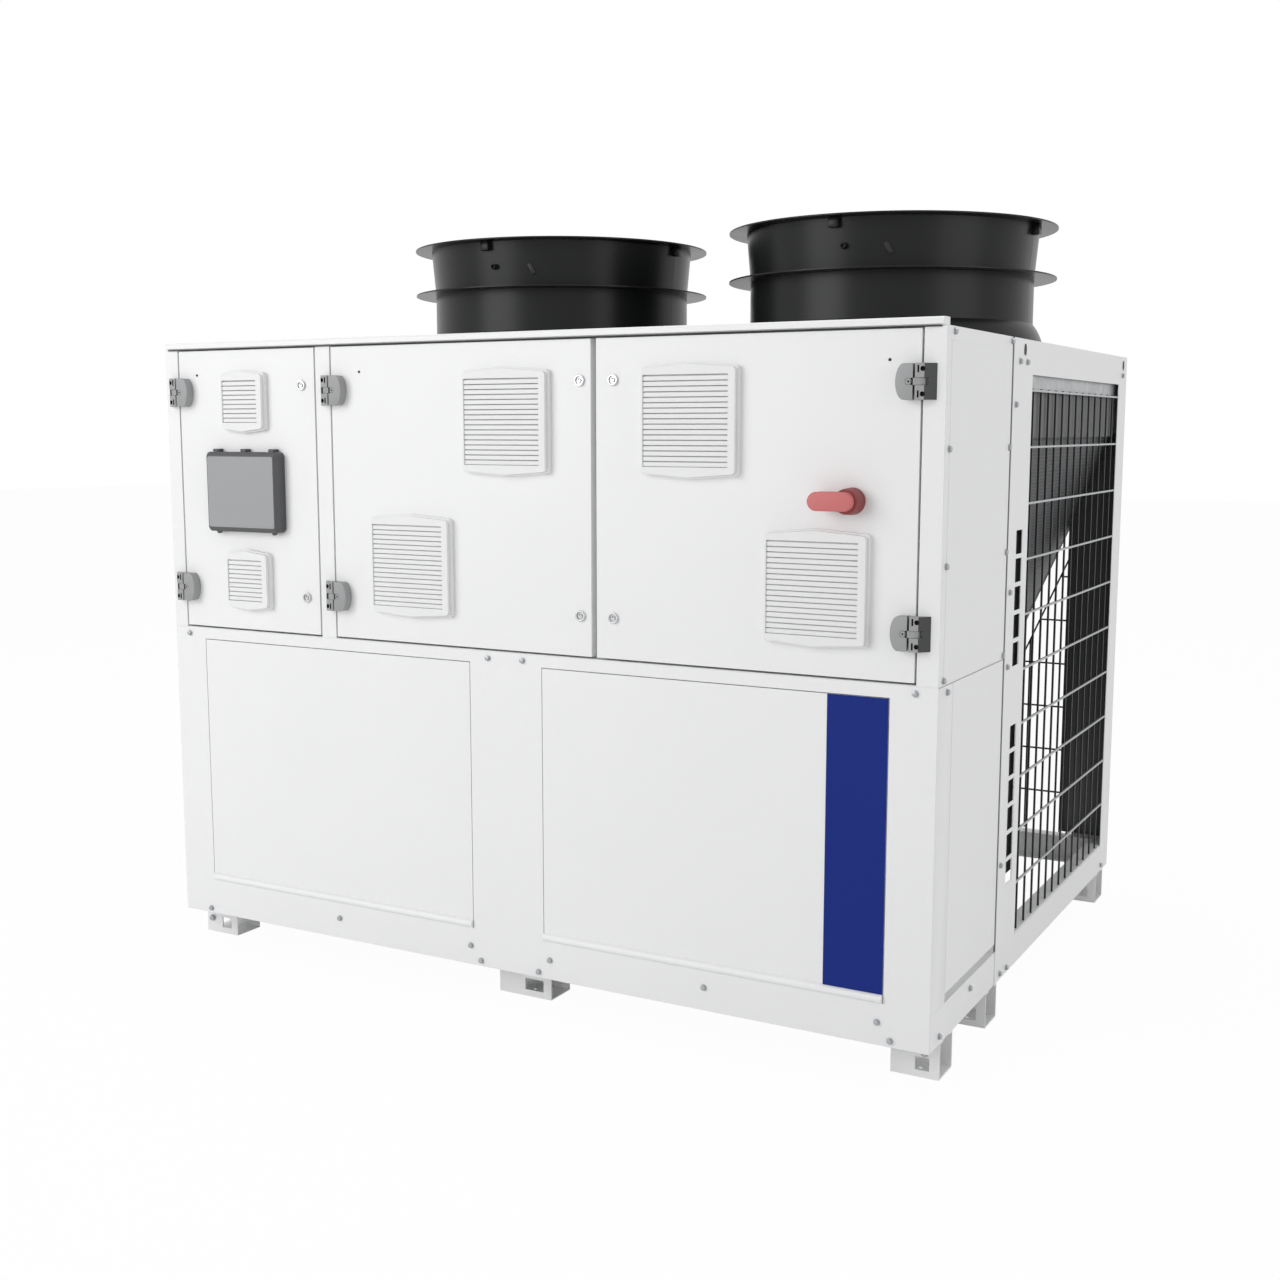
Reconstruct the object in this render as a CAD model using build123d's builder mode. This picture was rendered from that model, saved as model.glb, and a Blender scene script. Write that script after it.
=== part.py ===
from build123d import *
import os

os.makedirs("parts", exist_ok=True)

# Whole machine, in millimetres
length = 2250.0
depth = 1771.0
foot_height = 90.0
rail_height = 85.0
seam_height = 921.0
body_height = 1695.0
sheet = 2.0
fold = 22.0

# Front: posts and doors, from the left end
left_post = 44.0
left_door_width = 482.0
middle_post = 48.0
middle_door_width = 789.0
meeting_gap = 15.0
right_post = 50.0
door_gap = 5.0
door_thick = 25.0
post_depth = 60.0

# Closed technical section behind the front, and the coil section behind it
section_depth = 497.0
section_gap = 12.0
rear_post = 91.0
rear_post_width = 114.0

# Hinge, handle and cover that stand out in front
hinge_height = 77.0
hinge_thick = 25.0
hinge_post_side = 38.0
hinge_door_side = 57.0
hinge_levels = (1038.0, 1577.5)
knuckle_play = 1.0
knuckle_clear = 12.0
pin_radius = 4.0
pin_play = 0.3
handle_reach = 60.0

# Fans on the roof
fan_back = 1193.0
duct_radius = 407.0
duct_top_radius = 419.0
duct_flange_radius = 470.0
duct_wall = 4.0
middle_flange_height = 1903.0
machine_height = 2043.0
fan_base_width = 930.0
fan_base_thick = 18.0
flare_radius = 436.0
flare_height = 60.0

# Coils set in a V under each fan
coil_thick = 60.0
coil_slope = 2.31
coil_apex = 225.0
coil_reach = 545.0
seat = 0.3
rear_space = 8.0

# Places worked out from the sizes above
left = -length / 2
front = -(depth - handle_reach) / 2
rail_top = foot_height + rail_height
section_end = section_depth + sheet
coil_start = section_end + section_gap
skin_end = depth - sheet
roof_sheet = body_height - sheet
coil_end = skin_end - rear_space
fan_centres = (length / 4, length * 3 / 4)
left_door_start = left_post + door_gap
middle_post_start = left_door_start + left_door_width + door_gap
middle_door_start = middle_post_start + middle_post + door_gap
right_door_start = middle_door_start + middle_door_width + meeting_gap
right_post_start = length - right_post
right_door_width = right_post_start - door_gap - right_door_start
door_bottom = seam_height + sheet + door_gap
door_top = body_height - door_gap


def front_face(back=0.0):
    """Upright plane seen from the front: x from the left end, y up from the floor."""
    return Plane(origin=(left, front + back, 0), x_dir=(1, 0, 0), z_dir=(0, -1, 0))


def side_face(along=0.0):
    """Upright plane across the machine: x back from the front face, y up from the floor."""
    return Plane(origin=(left + along, front, 0), x_dir=(0, 1, 0), z_dir=(1, 0, 0))


def level(height):
    """Level plane: x from the left end, y back from the front face."""
    return Plane(origin=(left, front, height))


def field(x0, y0, x1, y1, mode=Mode.ADD):
    """A rectangle between two opposite corners of the sketch."""
    with Locations(((x0 + x1) / 2, (y0 + y1) / 2)):
        Rectangle(x1 - x0, y1 - y0, mode=mode)


def pan(x0, z0, x1, z1, back, deep):
    """A sheet panel with its four edges folded back, its face at a distance behind the front."""
    with BuildSketch(front_face(back)) as outline:
        field(x0, z0, x1, z1)
    extrude(outline.sketch, amount=-deep)
    with BuildSketch(front_face(back + sheet)) as outline:
        field(x0 + sheet, z0 + sheet, x1 - sheet, z1 - sheet)
    extrude(outline.sketch, amount=-deep, mode=Mode.SUBTRACT)


def keep(piece, name):
    """Labels a finished piece and writes it."""
    piece.part.label = name
    export_step(piece.part, f"parts/{name}.step")


# Feet: lipped channels across the machine, open at both ends
foot_sheet = 4.0
foot_deep = 93.0
foot_lip = 24.0
corner_foot = 117.0
middle_foot = 160.0
foot_rows = (78.0, 437.0, 1622.0)
foot_window = (17.0, 48.0)
anchor_radius = 7.0

with BuildPart() as feet:
    for row in foot_rows:
        spans = (
            (0, corner_foot),
            ((length - middle_foot) / 2, (length + middle_foot) / 2),
            (length - corner_foot, length),
        )
        for start, end in spans:
            with BuildSketch(side_face(start)):
                field(row, 0, row + foot_deep, foot_height)
                field(row + foot_sheet, foot_sheet, row + foot_deep - foot_sheet,
                      foot_height - foot_sheet, mode=Mode.SUBTRACT)
                field(row + foot_lip, foot_height - foot_sheet, row + foot_deep - foot_lip,
                      foot_height, mode=Mode.SUBTRACT)
            extrude(amount=end - start)
            with BuildSketch(front_face(row)):
                field((start + end) / 2, foot_window[0], end - foot_lip, foot_window[1])
            extrude(amount=-foot_sheet, mode=Mode.SUBTRACT)
            middle = (start + end) / 2
            if (row, middle) == (foot_rows[1], length / 2):
                continue
            with BuildSketch(level(0)):
                with Locations((middle, row + foot_deep / 2)):
                    Circle(anchor_radius)
            extrude(amount=foot_sheet, mode=Mode.SUBTRACT)
keep(feet, "feet")

# Base frame: channels round the foot of the machine, one across and one down its middle
rail_flange = 45.0
rail_sheet = 3.0


def rail(start, end):
    """A channel along the front or rear, with its web at start and its flanges towards end."""
    web = start + rail_sheet if end > start else start - rail_sheet
    with BuildSketch(side_face(sheet)) as outline:
        field(min(start, end), foot_height, max(start, end), rail_top)
        field(min(web, end), foot_height + rail_sheet, max(web, end), rail_top - rail_sheet,
              mode=Mode.SUBTRACT)
    extrude(outline.sketch, amount=length - 2 * sheet)


with BuildPart() as base_frame:
    rail(sheet, sheet + rail_flange)
    rail(skin_end, skin_end - rail_flange)
    rail(section_end, section_end + rail_flange)
    side_rails = (
        (sheet, sheet + rail_flange),
        (length - sheet, length - sheet - rail_flange),
        ((length - rail_flange) / 2, (length + rail_flange) / 2),
    )
    for start, end in side_rails:
        web = start + rail_sheet if end > start else start - rail_sheet
        with BuildSketch(front_face(sheet + rail_flange)):
            field(min(start, end), foot_height, max(start, end), rail_top)
            field(min(web, end), foot_height + rail_sheet, max(web, end), rail_top - rail_sheet,
                  mode=Mode.SUBTRACT)
        extrude(amount=-(skin_end - sheet - 2 * rail_flange))
keep(base_frame, "base_frame")

# Floor of the technical section
with BuildPart() as section_floor:
    with BuildSketch(level(rail_top)):
        field(sheet, sheet, length - sheet, section_depth)
    extrude(amount=sheet)
keep(section_floor, "section_floor")

# Lower front: a face frame with two removable panels
end_column = 110.0
centre_column = 215.0
panel_bottom = 190.0
panel_top = 891.0
panel_play = 2.0
panel_deep = 18.0
lip_radius = 10.0
openings = (
    (end_column, (length - centre_column) / 2),
    ((length + centre_column) / 2, length - end_column),
)

with BuildPart() as lower_front_frame:
    with BuildSketch(front_face()):
        field(0, foot_height, length, seam_height)
        for start, end in openings:
            field(start, panel_bottom, end, panel_top, mode=Mode.SUBTRACT)
    extrude(amount=-sheet)
    for start, end in openings:
        with BuildSketch(front_face(sheet)):
            field(start - sheet, panel_bottom - sheet, end + sheet, panel_top + sheet)
            field(start, panel_bottom, end, panel_top, mode=Mode.SUBTRACT)
        extrude(amount=-fold)
keep(lower_front_frame, "lower_front_frame")


def lower_panel(start, end):
    """A removable panel with the rounded lip along its foot."""
    pan(start + panel_play, panel_bottom + seat, end - panel_play, panel_top - panel_play,
        0, panel_deep)
    with BuildSketch(side_face(start + panel_play)) as outline:
        with Locations((0, panel_bottom + seat + lip_radius)):
            Circle(lip_radius)
        field(0, panel_bottom, sheet + 3 * lip_radius, panel_top, mode=Mode.SUBTRACT)
    extrude(outline.sketch, amount=end - start - 2 * panel_play)


with BuildPart() as lower_left_panel:
    lower_panel(*openings[0])
keep(lower_left_panel, "lower_left_panel")

with BuildPart() as lower_right_panel:
    lower_panel(*openings[1])
keep(lower_right_panel, "lower_right_panel")

# Blue trim band on the right hand lower panel
band_width = 145.0
band_thick = 1.0
band_bottom = panel_bottom + seat + 2 * lip_radius

with BuildPart() as blue_band:
    with BuildSketch(front_face()):
        field(openings[1][1] - panel_play - band_width, band_bottom,
              openings[1][1] - panel_play, panel_top - panel_play)
    extrude(amount=band_thick)
keep(blue_band, "blue_band")

# Sides of the technical section: a lower and an upper panel at each end
field_margin = 34.0
field_raise = 1.5


def side_panel(bottom, top):
    """The right hand side panel between two heights, its edges folded inwards."""
    with BuildSketch(side_face(length)) as outline:
        field(sheet, bottom, section_depth, top)
    extrude(outline.sketch, amount=-fold)
    with BuildSketch(side_face(length - sheet)) as outline:
        field(2 * sheet, bottom + sheet, section_depth - sheet, top - sheet)
    extrude(outline.sketch, amount=-fold, mode=Mode.SUBTRACT)


with BuildPart() as lower_side_panels:
    side_panel(rail_top + sheet, seam_height - sheet)
    mirror(about=Plane.YZ)
keep(lower_side_panels, "lower_side_panels")

with BuildPart() as upper_side_panels:
    side_panel(seam_height + sheet, body_height)
    mirror(about=Plane.YZ)
keep(upper_side_panels, "upper_side_panels")

# Skirts beside the floor of the technical section
with BuildPart() as side_skirts:
    with BuildSketch(side_face(length)):
        field(sheet, foot_height, section_depth, rail_top + sheet)
    extrude(amount=-sheet)
    mirror(about=Plane.YZ)
keep(side_skirts, "side_skirts")

# Rear wall, cabinet floor and roof of the technical section
with BuildPart() as section_rear_wall:
    with BuildSketch(front_face(section_depth)):
        field(sheet, rail_top, length - sheet, roof_sheet)
    extrude(amount=-sheet)
keep(section_rear_wall, "section_rear_wall")

with BuildPart() as cabinet_floor:
    with BuildSketch(level(seam_height)):
        field(0, 0, length, section_depth)
    extrude(amount=sheet)
keep(cabinet_floor, "cabinet_floor")

with BuildPart() as section_roof:
    with BuildSketch(level(roof_sheet)):
        field(fold, 0, length - fold, section_end)
    extrude(amount=sheet)
keep(section_roof, "section_roof")

# Rain strip along the front edge of the roof
strip_rise = 18.0
strip_reach = 6.0
strip_deep = 34.0
strip_end = 6.0
strip_round = 8.0

with BuildPart() as rain_strip:
    with BuildSketch(side_face(strip_end)):
        field(-strip_reach, body_height, strip_deep, body_height + strip_rise)
        field(-strip_reach, body_height, 0, body_height + sheet, mode=Mode.SUBTRACT)
    extrude(amount=length - 2 * strip_end)
    top_front = rain_strip.edges().filter_by(Axis.X).group_by(Axis.Z)[-1].sort_by(Axis.Y)[0]
    fillet(top_front, strip_round)
keep(rain_strip, "rain_strip")

# Posts of the upper front, open to the rear
posts = (
    (0.0, left_post),
    (middle_post_start, middle_post_start + middle_post),
    (right_post_start, length),
)

with BuildPart() as front_posts:
    for start, end in posts:
        with BuildSketch(level(seam_height + sheet)):
            field(start, 0, end, sheet)
            if start > 0:
                field(start, 0, start + sheet, post_depth)
            if end < length:
                field(end - sheet, 0, end, post_depth)
        extrude(amount=roof_sheet - seam_height - sheet)
keep(front_posts, "front_posts")

# Header behind the doors, with the mullion where the two wide doors meet
header_height = 40.0
header_back = door_thick + door_gap
mullion_width = 41.0
mullion_middle = right_door_start - meeting_gap / 2

with BuildPart() as door_frame:
    for start, end in ((posts[0][1], posts[1][0]), (posts[1][1], posts[2][0])):
        with BuildSketch(side_face(start)):
            field(header_back, roof_sheet - header_height, header_back + header_height, roof_sheet)
            field(header_back + sheet, roof_sheet - header_height + sheet,
                  header_back + header_height, roof_sheet, mode=Mode.SUBTRACT)
        extrude(amount=end - start)
    with BuildSketch(level(seam_height + sheet)):
        field(mullion_middle - mullion_width / 2, header_back,
              mullion_middle + mullion_width / 2, header_back + header_height)
        field(mullion_middle - mullion_width / 2 + sheet, header_back + sheet,
              mullion_middle + mullion_width / 2 - sheet, header_back + header_height,
              mode=Mode.SUBTRACT)
    extrude(amount=roof_sheet - header_height - seam_height - sheet)
keep(door_frame, "door_frame")

# Partition beside the control compartment, and the mounting plates
plate_gap = 20.0
plate_thick = 3.0
plate_margin = 30.0
plate_stand = 24.0
partition_at = middle_post_start + middle_post / 2

with BuildPart() as cabinet_partition:
    with BuildSketch(side_face(partition_at)):
        field(post_depth + sheet, seam_height + sheet, section_depth, roof_sheet)
    extrude(amount=sheet)
keep(cabinet_partition, "cabinet_partition")

with BuildPart() as mounting_plates:
    for start, end in ((sheet + fold, partition_at), (partition_at + sheet, length - sheet - fold)):
        with BuildSketch(front_face(section_depth - plate_stand)):
            field(start + plate_margin, seam_height + sheet + plate_margin,
                  end - plate_margin, roof_sheet - plate_margin)
        extrude(amount=plate_thick)
        with BuildSketch(front_face(section_depth)):
            with Locations(((start + end) / 2, (seam_height + roof_sheet) / 2)):
                with GridLocations(end - start - 4 * plate_margin,
                                   roof_sheet - seam_height - 4 * plate_margin, 2, 2):
                    Rectangle(plate_stand, plate_stand)
        extrude(amount=plate_stand)
keep(mounting_plates, "mounting_plates")

# Side frames of the coil section: one sheet with the guard's opening and the slotted front post
frame_post = 683.0
frame_end = depth - rear_post
window_end = 1667.0
window_bottom = rail_top - 4
window_top = 1611.0
slot_middle = 608.0
slot_width = 55.0
slot_height = 59.0
slot_pitch = 70.0
slot_groups = ((920.5, 5), (360.5, 6))
frame_fold = 12.0

with BuildPart() as right_side_frame:
    with BuildSketch(side_face(length)):
        field(coil_start, foot_height, frame_end, body_height)
        field(frame_post, window_bottom, window_end, window_top, mode=Mode.SUBTRACT)
        for lowest, count in slot_groups:
            with Locations((slot_middle, lowest + (count - 1) * slot_pitch / 2)):
                with GridLocations(slot_width, slot_pitch, 1, count):
                    Rectangle(slot_width, slot_height, mode=Mode.SUBTRACT)
    extrude(amount=-sheet)
    for start in (coil_start, frame_post - sheet):
        with BuildSketch(side_face(length - sheet)):
            field(start, rail_top + sheet, start + sheet, window_top)
        extrude(amount=-frame_fold)
keep(right_side_frame, "right_side_frame")

with BuildPart() as left_side_frame:
    mirror(right_side_frame.part, about=Plane.YZ)
keep(left_side_frame, "left_side_frame")

# Rear corner posts, folded round the corner
with BuildPart() as rear_posts:
    with BuildSketch(level(foot_height)):
        field(length - sheet, frame_end, length, depth)
        field(length - rear_post_width, skin_end, length, depth)
    extrude(amount=body_height - foot_height)
    mirror(about=Plane.YZ)
keep(rear_posts, "rear_posts")

# Rear top rail
with BuildPart() as rear_top_rail:
    with BuildSketch(side_face(sheet)):
        field(coil_end + sheet, window_top, skin_end, roof_sheet)
        field(coil_end + sheet, window_top + sheet, skin_end - sheet, roof_sheet,
              mode=Mode.SUBTRACT)
    extrude(amount=length - 2 * sheet)
keep(rear_top_rail, "rear_top_rail")

# Wire guards: upright wires inside, level wires outside, welded where they cross
wire = 5.0
weld = 1.0
upright_pitch = 75.0
level_pitch = 140.57
level_top = 1573.0
level_count = 10

with BuildPart() as right_side_guard:
    outer = length - sheet
    guard_levels = [level_top - level_pitch * row for row in range(level_count)]
    with BuildSketch(front_face(frame_post)):
        for height in guard_levels:
            with Locations((outer - wire / 2, height)):
                Rectangle(wire, wire)
    extrude(amount=-(window_end - frame_post + frame_fold))
    upright_count = int((window_end - frame_post) // upright_pitch)
    with BuildSketch(level(rail_top)):
        with Locations((outer - 3 * wire / 2 + weld, (frame_post + window_end) / 2)):
            with GridLocations(upright_pitch, upright_pitch, 1, upright_count):
                Rectangle(wire, wire)
    extrude(amount=level_top + wire - rail_top)
keep(right_side_guard, "right_side_guard")

with BuildPart() as left_side_guard:
    mirror(right_side_guard.part, about=Plane.YZ)
keep(left_side_guard, "left_side_guard")

# Beams under the coils, with a ridge that the lower ends of both coils stand on
beam_half = 62.0
beam_sheet = 3.0
coil_run = (coil_slope ** 2 + 1) ** 0.5
inward_x = coil_slope / coil_run
inward_z = 1 / coil_run
coil_foot = coil_thick * inward_x + seat
coil_foot_height = coil_apex + coil_slope * coil_foot
ridge_height = coil_foot_height + coil_foot * inward_z / inward_x
shoulder_height = ridge_height - beam_half * inward_z / inward_x

with BuildPart() as coil_beams:
    for centre in fan_centres:
        with BuildSketch(front_face(section_end)):
            with BuildLine():
                Polyline(
                    (centre - beam_half, rail_top),
                    (centre + beam_half, rail_top),
                    (centre + beam_half, shoulder_height),
                    (centre, ridge_height),
                    (centre - beam_half, shoulder_height),
                    close=True,
                )
            make_face()
            offset(amount=-beam_sheet, mode=Mode.SUBTRACT)
        extrude(amount=-(coil_end - section_end))
keep(coil_beams, "coil_beams")

# Coils: four slabs, two to a fan
with BuildPart() as coils:
    for centre in fan_centres:
        for turn in (-1, 1):
            with BuildSketch(front_face(coil_start)):
                with BuildLine():
                    foot_x = centre + turn * coil_foot
                    head_x = centre + turn * coil_reach
                    head_z = coil_apex + coil_slope * coil_reach
                    step_x = -turn * coil_thick * inward_x
                    step_z = coil_thick * inward_z
                    Polyline(
                        (foot_x, coil_foot_height + seat),
                        (head_x, head_z),
                        (head_x + step_x, head_z + step_z),
                        (foot_x + step_x, coil_foot_height + seat + step_z),
                        close=True,
                    )
                make_face()
            extrude(amount=-(coil_end - coil_start))
keep(coils, "coils")

# Plates between the heads of the coils and the roof
with BuildPart() as plenum_plates:
    for centre in fan_centres:
        for turn in (-1, 1):
            face = centre + turn * (coil_reach + seat + sheet / 2)
            with BuildSketch(front_face(coil_start)):
                field(face - sheet / 2, coil_apex + coil_slope * coil_reach - fold,
                      face + sheet / 2, roof_sheet)
            extrude(amount=-(coil_end - coil_start))
keep(plenum_plates, "plenum_plates")

# Triangular plates that close the rear ends of the coils
with BuildPart() as rear_coil_plates:
    for centre in fan_centres:
        with BuildSketch(front_face(coil_end)):
            with BuildLine():
                Polyline(
                    (centre - beam_half, rail_top + wire),
                    (centre + beam_half, rail_top + wire),
                    (centre + beam_half, shoulder_height),
                    (centre + coil_reach, coil_apex + coil_slope * coil_reach),
                    (centre + coil_reach, roof_sheet),
                    (centre - coil_reach, roof_sheet),
                    (centre - coil_reach, coil_apex + coil_slope * coil_reach),
                    (centre - beam_half, shoulder_height),
                    close=True,
                )
            make_face()
        extrude(amount=-sheet)
keep(rear_coil_plates, "rear_coil_plates")

# Roof deck under the fans
deck_hole = duct_radius - duct_wall - 3

with BuildPart() as fan_deck:
    with BuildSketch(level(roof_sheet)):
        field(sheet, section_end, length - sheet, skin_end)
        with Locations(*[(centre, fan_back) for centre in fan_centres]):
            Circle(deck_hole, mode=Mode.SUBTRACT)
    extrude(amount=sheet)
keep(fan_deck, "fan_deck")

# Moulded square bases of the fans
with BuildPart() as fan_bases:
    for centre in fan_centres:
        with BuildSketch(level(body_height)):
            with Locations((centre, fan_back)):
                RectangleRounded(fan_base_width, fan_base_width, 60)
                Circle(deck_hole, mode=Mode.SUBTRACT)
        extrude(amount=fan_base_thick)
keep(fan_bases, "fan_bases")

# Fan ducts: a flared foot, a straight barrel, a middle flange, a cone and a top flange
duct_foot = body_height + fan_base_thick


def duct(centre):
    """One duct, turned round the fan's axis."""
    with BuildSketch(Plane(origin=(left + centre, front + fan_back, 0), x_dir=(1, 0, 0),
                           z_dir=(0, -1, 0))) as outline:
        with BuildLine():
            foot = Line((duct_radius - duct_wall, duct_foot), (flare_radius, duct_foot))
            neck = (duct_radius, duct_foot + flare_height)
            TangentArc(foot @ 1, neck, tangent=(-0.2, 1))
            Polyline(
                neck,
                (duct_radius, middle_flange_height - duct_wall),
                (duct_flange_radius, middle_flange_height - duct_wall),
                (duct_flange_radius, middle_flange_height),
                (duct_radius, middle_flange_height),
                (duct_top_radius, machine_height - duct_wall),
                (duct_flange_radius, machine_height - duct_wall),
                (duct_flange_radius, machine_height),
                (duct_top_radius - duct_wall, machine_height),
                (duct_radius - duct_wall, middle_flange_height),
                foot @ 0,
            )
        make_face()
    revolve(outline.sketch, axis=Axis((left + centre, front + fan_back, 0), (0, 0, 1)))


with BuildPart() as left_fan_duct:
    duct(fan_centres[0])
keep(left_fan_duct, "left_fan_duct")

with BuildPart() as right_fan_duct:
    duct(fan_centres[1])
keep(right_fan_duct, "right_fan_duct")

# Motors under the rotors, each on four arms across the roof opening
motor_radius = 85.0
motor_height = 120.0
arm_width = 24.0
arm_thick = 10.0
motor_foot = roof_sheet - motor_height
shaft_radius = 14.0
rotor_step = 6.0

with BuildPart() as fan_motors:
    for centre in fan_centres:
        with BuildSketch(level(motor_foot)):
            with Locations((centre, fan_back)):
                Circle(motor_radius)
        extrude(amount=motor_height)
        with BuildSketch(level(roof_sheet - arm_thick)):
            with Locations((centre, fan_back)):
                for turn in (45, 135):
                    Rectangle(2 * deck_hole + 2 * arm_width, arm_width, rotation=turn)
        extrude(amount=arm_thick)
        with BuildSketch(level(roof_sheet)):
            with Locations((centre, fan_back)):
                Circle(shaft_radius)
        extrude(amount=rotor_step - seat)
keep(fan_motors, "fan_motors")

# Rotors: a hub and seven twisted blades
hub_radius = 110.0
hub_height = 90.0
rotor_foot = roof_sheet + rotor_step
blade_tip = 385.0
blade_count = 7
blade_thick = 6.0

with BuildPart() as fan_rotors:
    for centre in fan_centres:
        axle = Plane(origin=(left + centre, front + fan_back, rotor_foot))
        with BuildSketch(axle):
            Circle(hub_radius)
        extrude(amount=hub_height)
        for turn in range(blade_count):
            spoke = axle.rotated((0, 0, turn * 360 / blade_count))
            root = Plane(origin=spoke.from_local_coords((hub_radius - 6, 0, hub_height / 2)),
                         x_dir=spoke.y_dir, z_dir=spoke.x_dir)
            tip = Plane(origin=spoke.from_local_coords((blade_tip, 0, hub_height / 2)),
                        x_dir=spoke.y_dir, z_dir=spoke.x_dir)
            with BuildSketch(root):
                Rectangle(105, blade_thick, rotation=42)
            with BuildSketch(tip):
                Rectangle(190, blade_thick, rotation=22)
            loft()
keep(fan_rotors, "fan_rotors")

# Hinges: the fixed half is two lugs on the post, the moving half a rounded plate on the door
lug_height = 22.0
middle_half = hinge_height / 2 - lug_height - knuckle_play / 2
knuckle_radius = hinge_thick / 2 - knuckle_play
hinge_axis_back = -hinge_thick / 2
hinges = (
    (left_post + door_gap / 2, 1),
    (middle_post_start + middle_post + door_gap / 2, 1),
    (right_post_start - door_gap / 2, -1),
)


def hinge_band(plane, at, x0, x1):
    """One band of a hinge across its pin: the knuckle and the block on one side of it."""
    with BuildSketch(plane) as outline:
        with Locations((at, hinge_axis_back)):
            Circle(knuckle_radius)
        field(min(at + x0, at + x1), -hinge_thick, max(at + x0, at + x1), 0)
    return outline.sketch


with BuildPart() as hinge_post_halves:
    for at, turn in hinges:
        for middle in hinge_levels:
            bottom = middle - hinge_height / 2
            for foot in (bottom, middle + hinge_height / 2 - lug_height):
                lug = hinge_band(level(foot), at, -turn * hinge_post_side, -turn * sheet)
                extrude(lug, amount=lug_height)
            with BuildSketch(level(bottom)):
                field(at - turn * hinge_post_side, -hinge_thick,
                      at - turn * (hinge_post_side / 2 + sheet), 0)
                with Locations((at, hinge_axis_back)):
                    Circle(pin_radius)
            extrude(amount=hinge_height)
keep(hinge_post_halves, "hinge_post_halves")


def hinge_door_half(at, turn):
    """The moving halves of one door's two hinges."""
    for middle in hinge_levels:
        inner = at + turn * 2 * knuckle_clear
        outer = at + turn * hinge_door_side
        bulge = outer - turn * hinge_height / 3
        with BuildSketch(front_face()) as outline:
            with BuildLine():
                Polyline((bulge, middle + hinge_height / 2), (inner, middle + hinge_height / 2),
                         (inner, middle - hinge_height / 2), (bulge, middle - hinge_height / 2))
                ThreePointArc((bulge, middle - hinge_height / 2), (outer, middle),
                              (bulge, middle + hinge_height / 2))
            make_face()
        extrude(outline.sketch, amount=hinge_thick)
        knuckle = hinge_band(level(middle - middle_half), at, turn * sheet,
                             turn * (2 * knuckle_clear + sheet))
        extrude(knuckle, amount=2 * middle_half)
        with BuildSketch(level(middle - middle_half)) as outline:
            with Locations((at, hinge_axis_back)):
                Circle(pin_radius + pin_play)
        extrude(outline.sketch, amount=2 * middle_half, mode=Mode.SUBTRACT)


def door(start, width):
    """A door leaf: a sheet pan flush with the front."""
    pan(start, door_bottom, start + width, door_top, 0, door_thick)


with BuildPart() as left_door:
    door(left_door_start, left_door_width)
keep(left_door, "left_door")

with BuildPart() as middle_door:
    door(middle_door_start, middle_door_width)
keep(middle_door, "middle_door")

with BuildPart() as right_door:
    door(right_door_start, right_door_width)
keep(right_door, "right_door")

with BuildPart() as left_door_hinges:
    hinge_door_half(*hinges[0])
keep(left_door_hinges, "left_door_hinges")

with BuildPart() as middle_door_hinges:
    hinge_door_half(*hinges[1])
keep(middle_door_hinges, "middle_door_hinges")

with BuildPart() as right_door_hinges:
    hinge_door_half(*hinges[2])
keep(right_door_hinges, "right_door_hinges")

# Locks: a round escutcheon with a key slot, two to a door
lock_radius = 13.5
lock_reach = 6.0
lock_levels = (1027.0, 1592.0)
left_lock_inset = 43.0
middle_lock_inset = 30.0
right_lock_inset = 47.0


def locks(at):
    """The two locks of a door."""
    with BuildSketch(front_face()) as outline:
        with Locations(*[(at, height) for height in lock_levels]):
            Circle(lock_radius)
    extrude(outline.sketch, amount=lock_reach)


with BuildPart() as left_door_locks:
    locks(left_door_start + left_door_width - left_lock_inset)
keep(left_door_locks, "left_door_locks")

with BuildPart() as middle_door_locks:
    locks(middle_door_start + middle_door_width - middle_lock_inset)
keep(middle_door_locks, "middle_door_locks")

with BuildPart() as right_door_locks:
    locks(right_door_start + right_lock_inset)
keep(right_door_locks, "right_door_locks")

# Filter grilles on the doors: a frame with bowed ends and sloping slats
small_grille = 152.0
large_grille = 250.0
grille_reach = 22.0
grille_bow = 9.0
slat_pitch = 12.5
slat_rise = 8.0
slat_margin = 20.0
small_grilles = ((292.0, 1551.0), (292.0, 1065.0))
middle_grilles = ((1141.0, 1495.0), (847.0, 1128.0))
right_grilles = ((1647.0, 1496.0), (1965.0, 1125.0))


def grille(centre, size):
    """One grille, flat on the door, its slats set inside the frame."""
    x, z = centre
    half = size / 2
    inner = half - slat_margin
    with BuildSketch(front_face()) as outline:
        with BuildLine():
            ThreePointArc((x - half, z + half), (x, z + half + grille_bow), (x + half, z + half))
            Line((x + half, z + half), (x + half, z - half))
            ThreePointArc((x + half, z - half), (x, z - half - grille_bow), (x - half, z - half))
            Line((x - half, z - half), (x - half, z + half))
        make_face()
        field(x - inner, z - inner, x + inner, z + inner, mode=Mode.SUBTRACT)
    extrude(outline.sketch, amount=grille_reach)
    count = int(2 * inner // slat_pitch)
    with BuildSketch(side_face(x - inner)) as outline:
        for row in range(count):
            foot = z - inner + (2 * inner - count * slat_pitch) / 2 + row * slat_pitch
            with BuildLine():
                Polyline((0, foot + slat_rise), (-grille_reach + sheet, foot),
                         (-grille_reach + sheet, foot + sheet), (0, foot + slat_rise + sheet),
                         close=True)
            make_face()
    extrude(outline.sketch, amount=2 * inner)


with BuildPart() as left_door_grilles:
    for place in small_grilles:
        grille(place, small_grille)
keep(left_door_grilles, "left_door_grilles")

with BuildPart() as middle_door_grilles:
    for place in middle_grilles:
        grille(place, large_grille)
keep(middle_door_grilles, "middle_door_grilles")

with BuildPart() as right_door_grilles:
    for place in right_grilles:
        grille(place, large_grille)
keep(right_door_grilles, "right_door_grilles")

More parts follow.
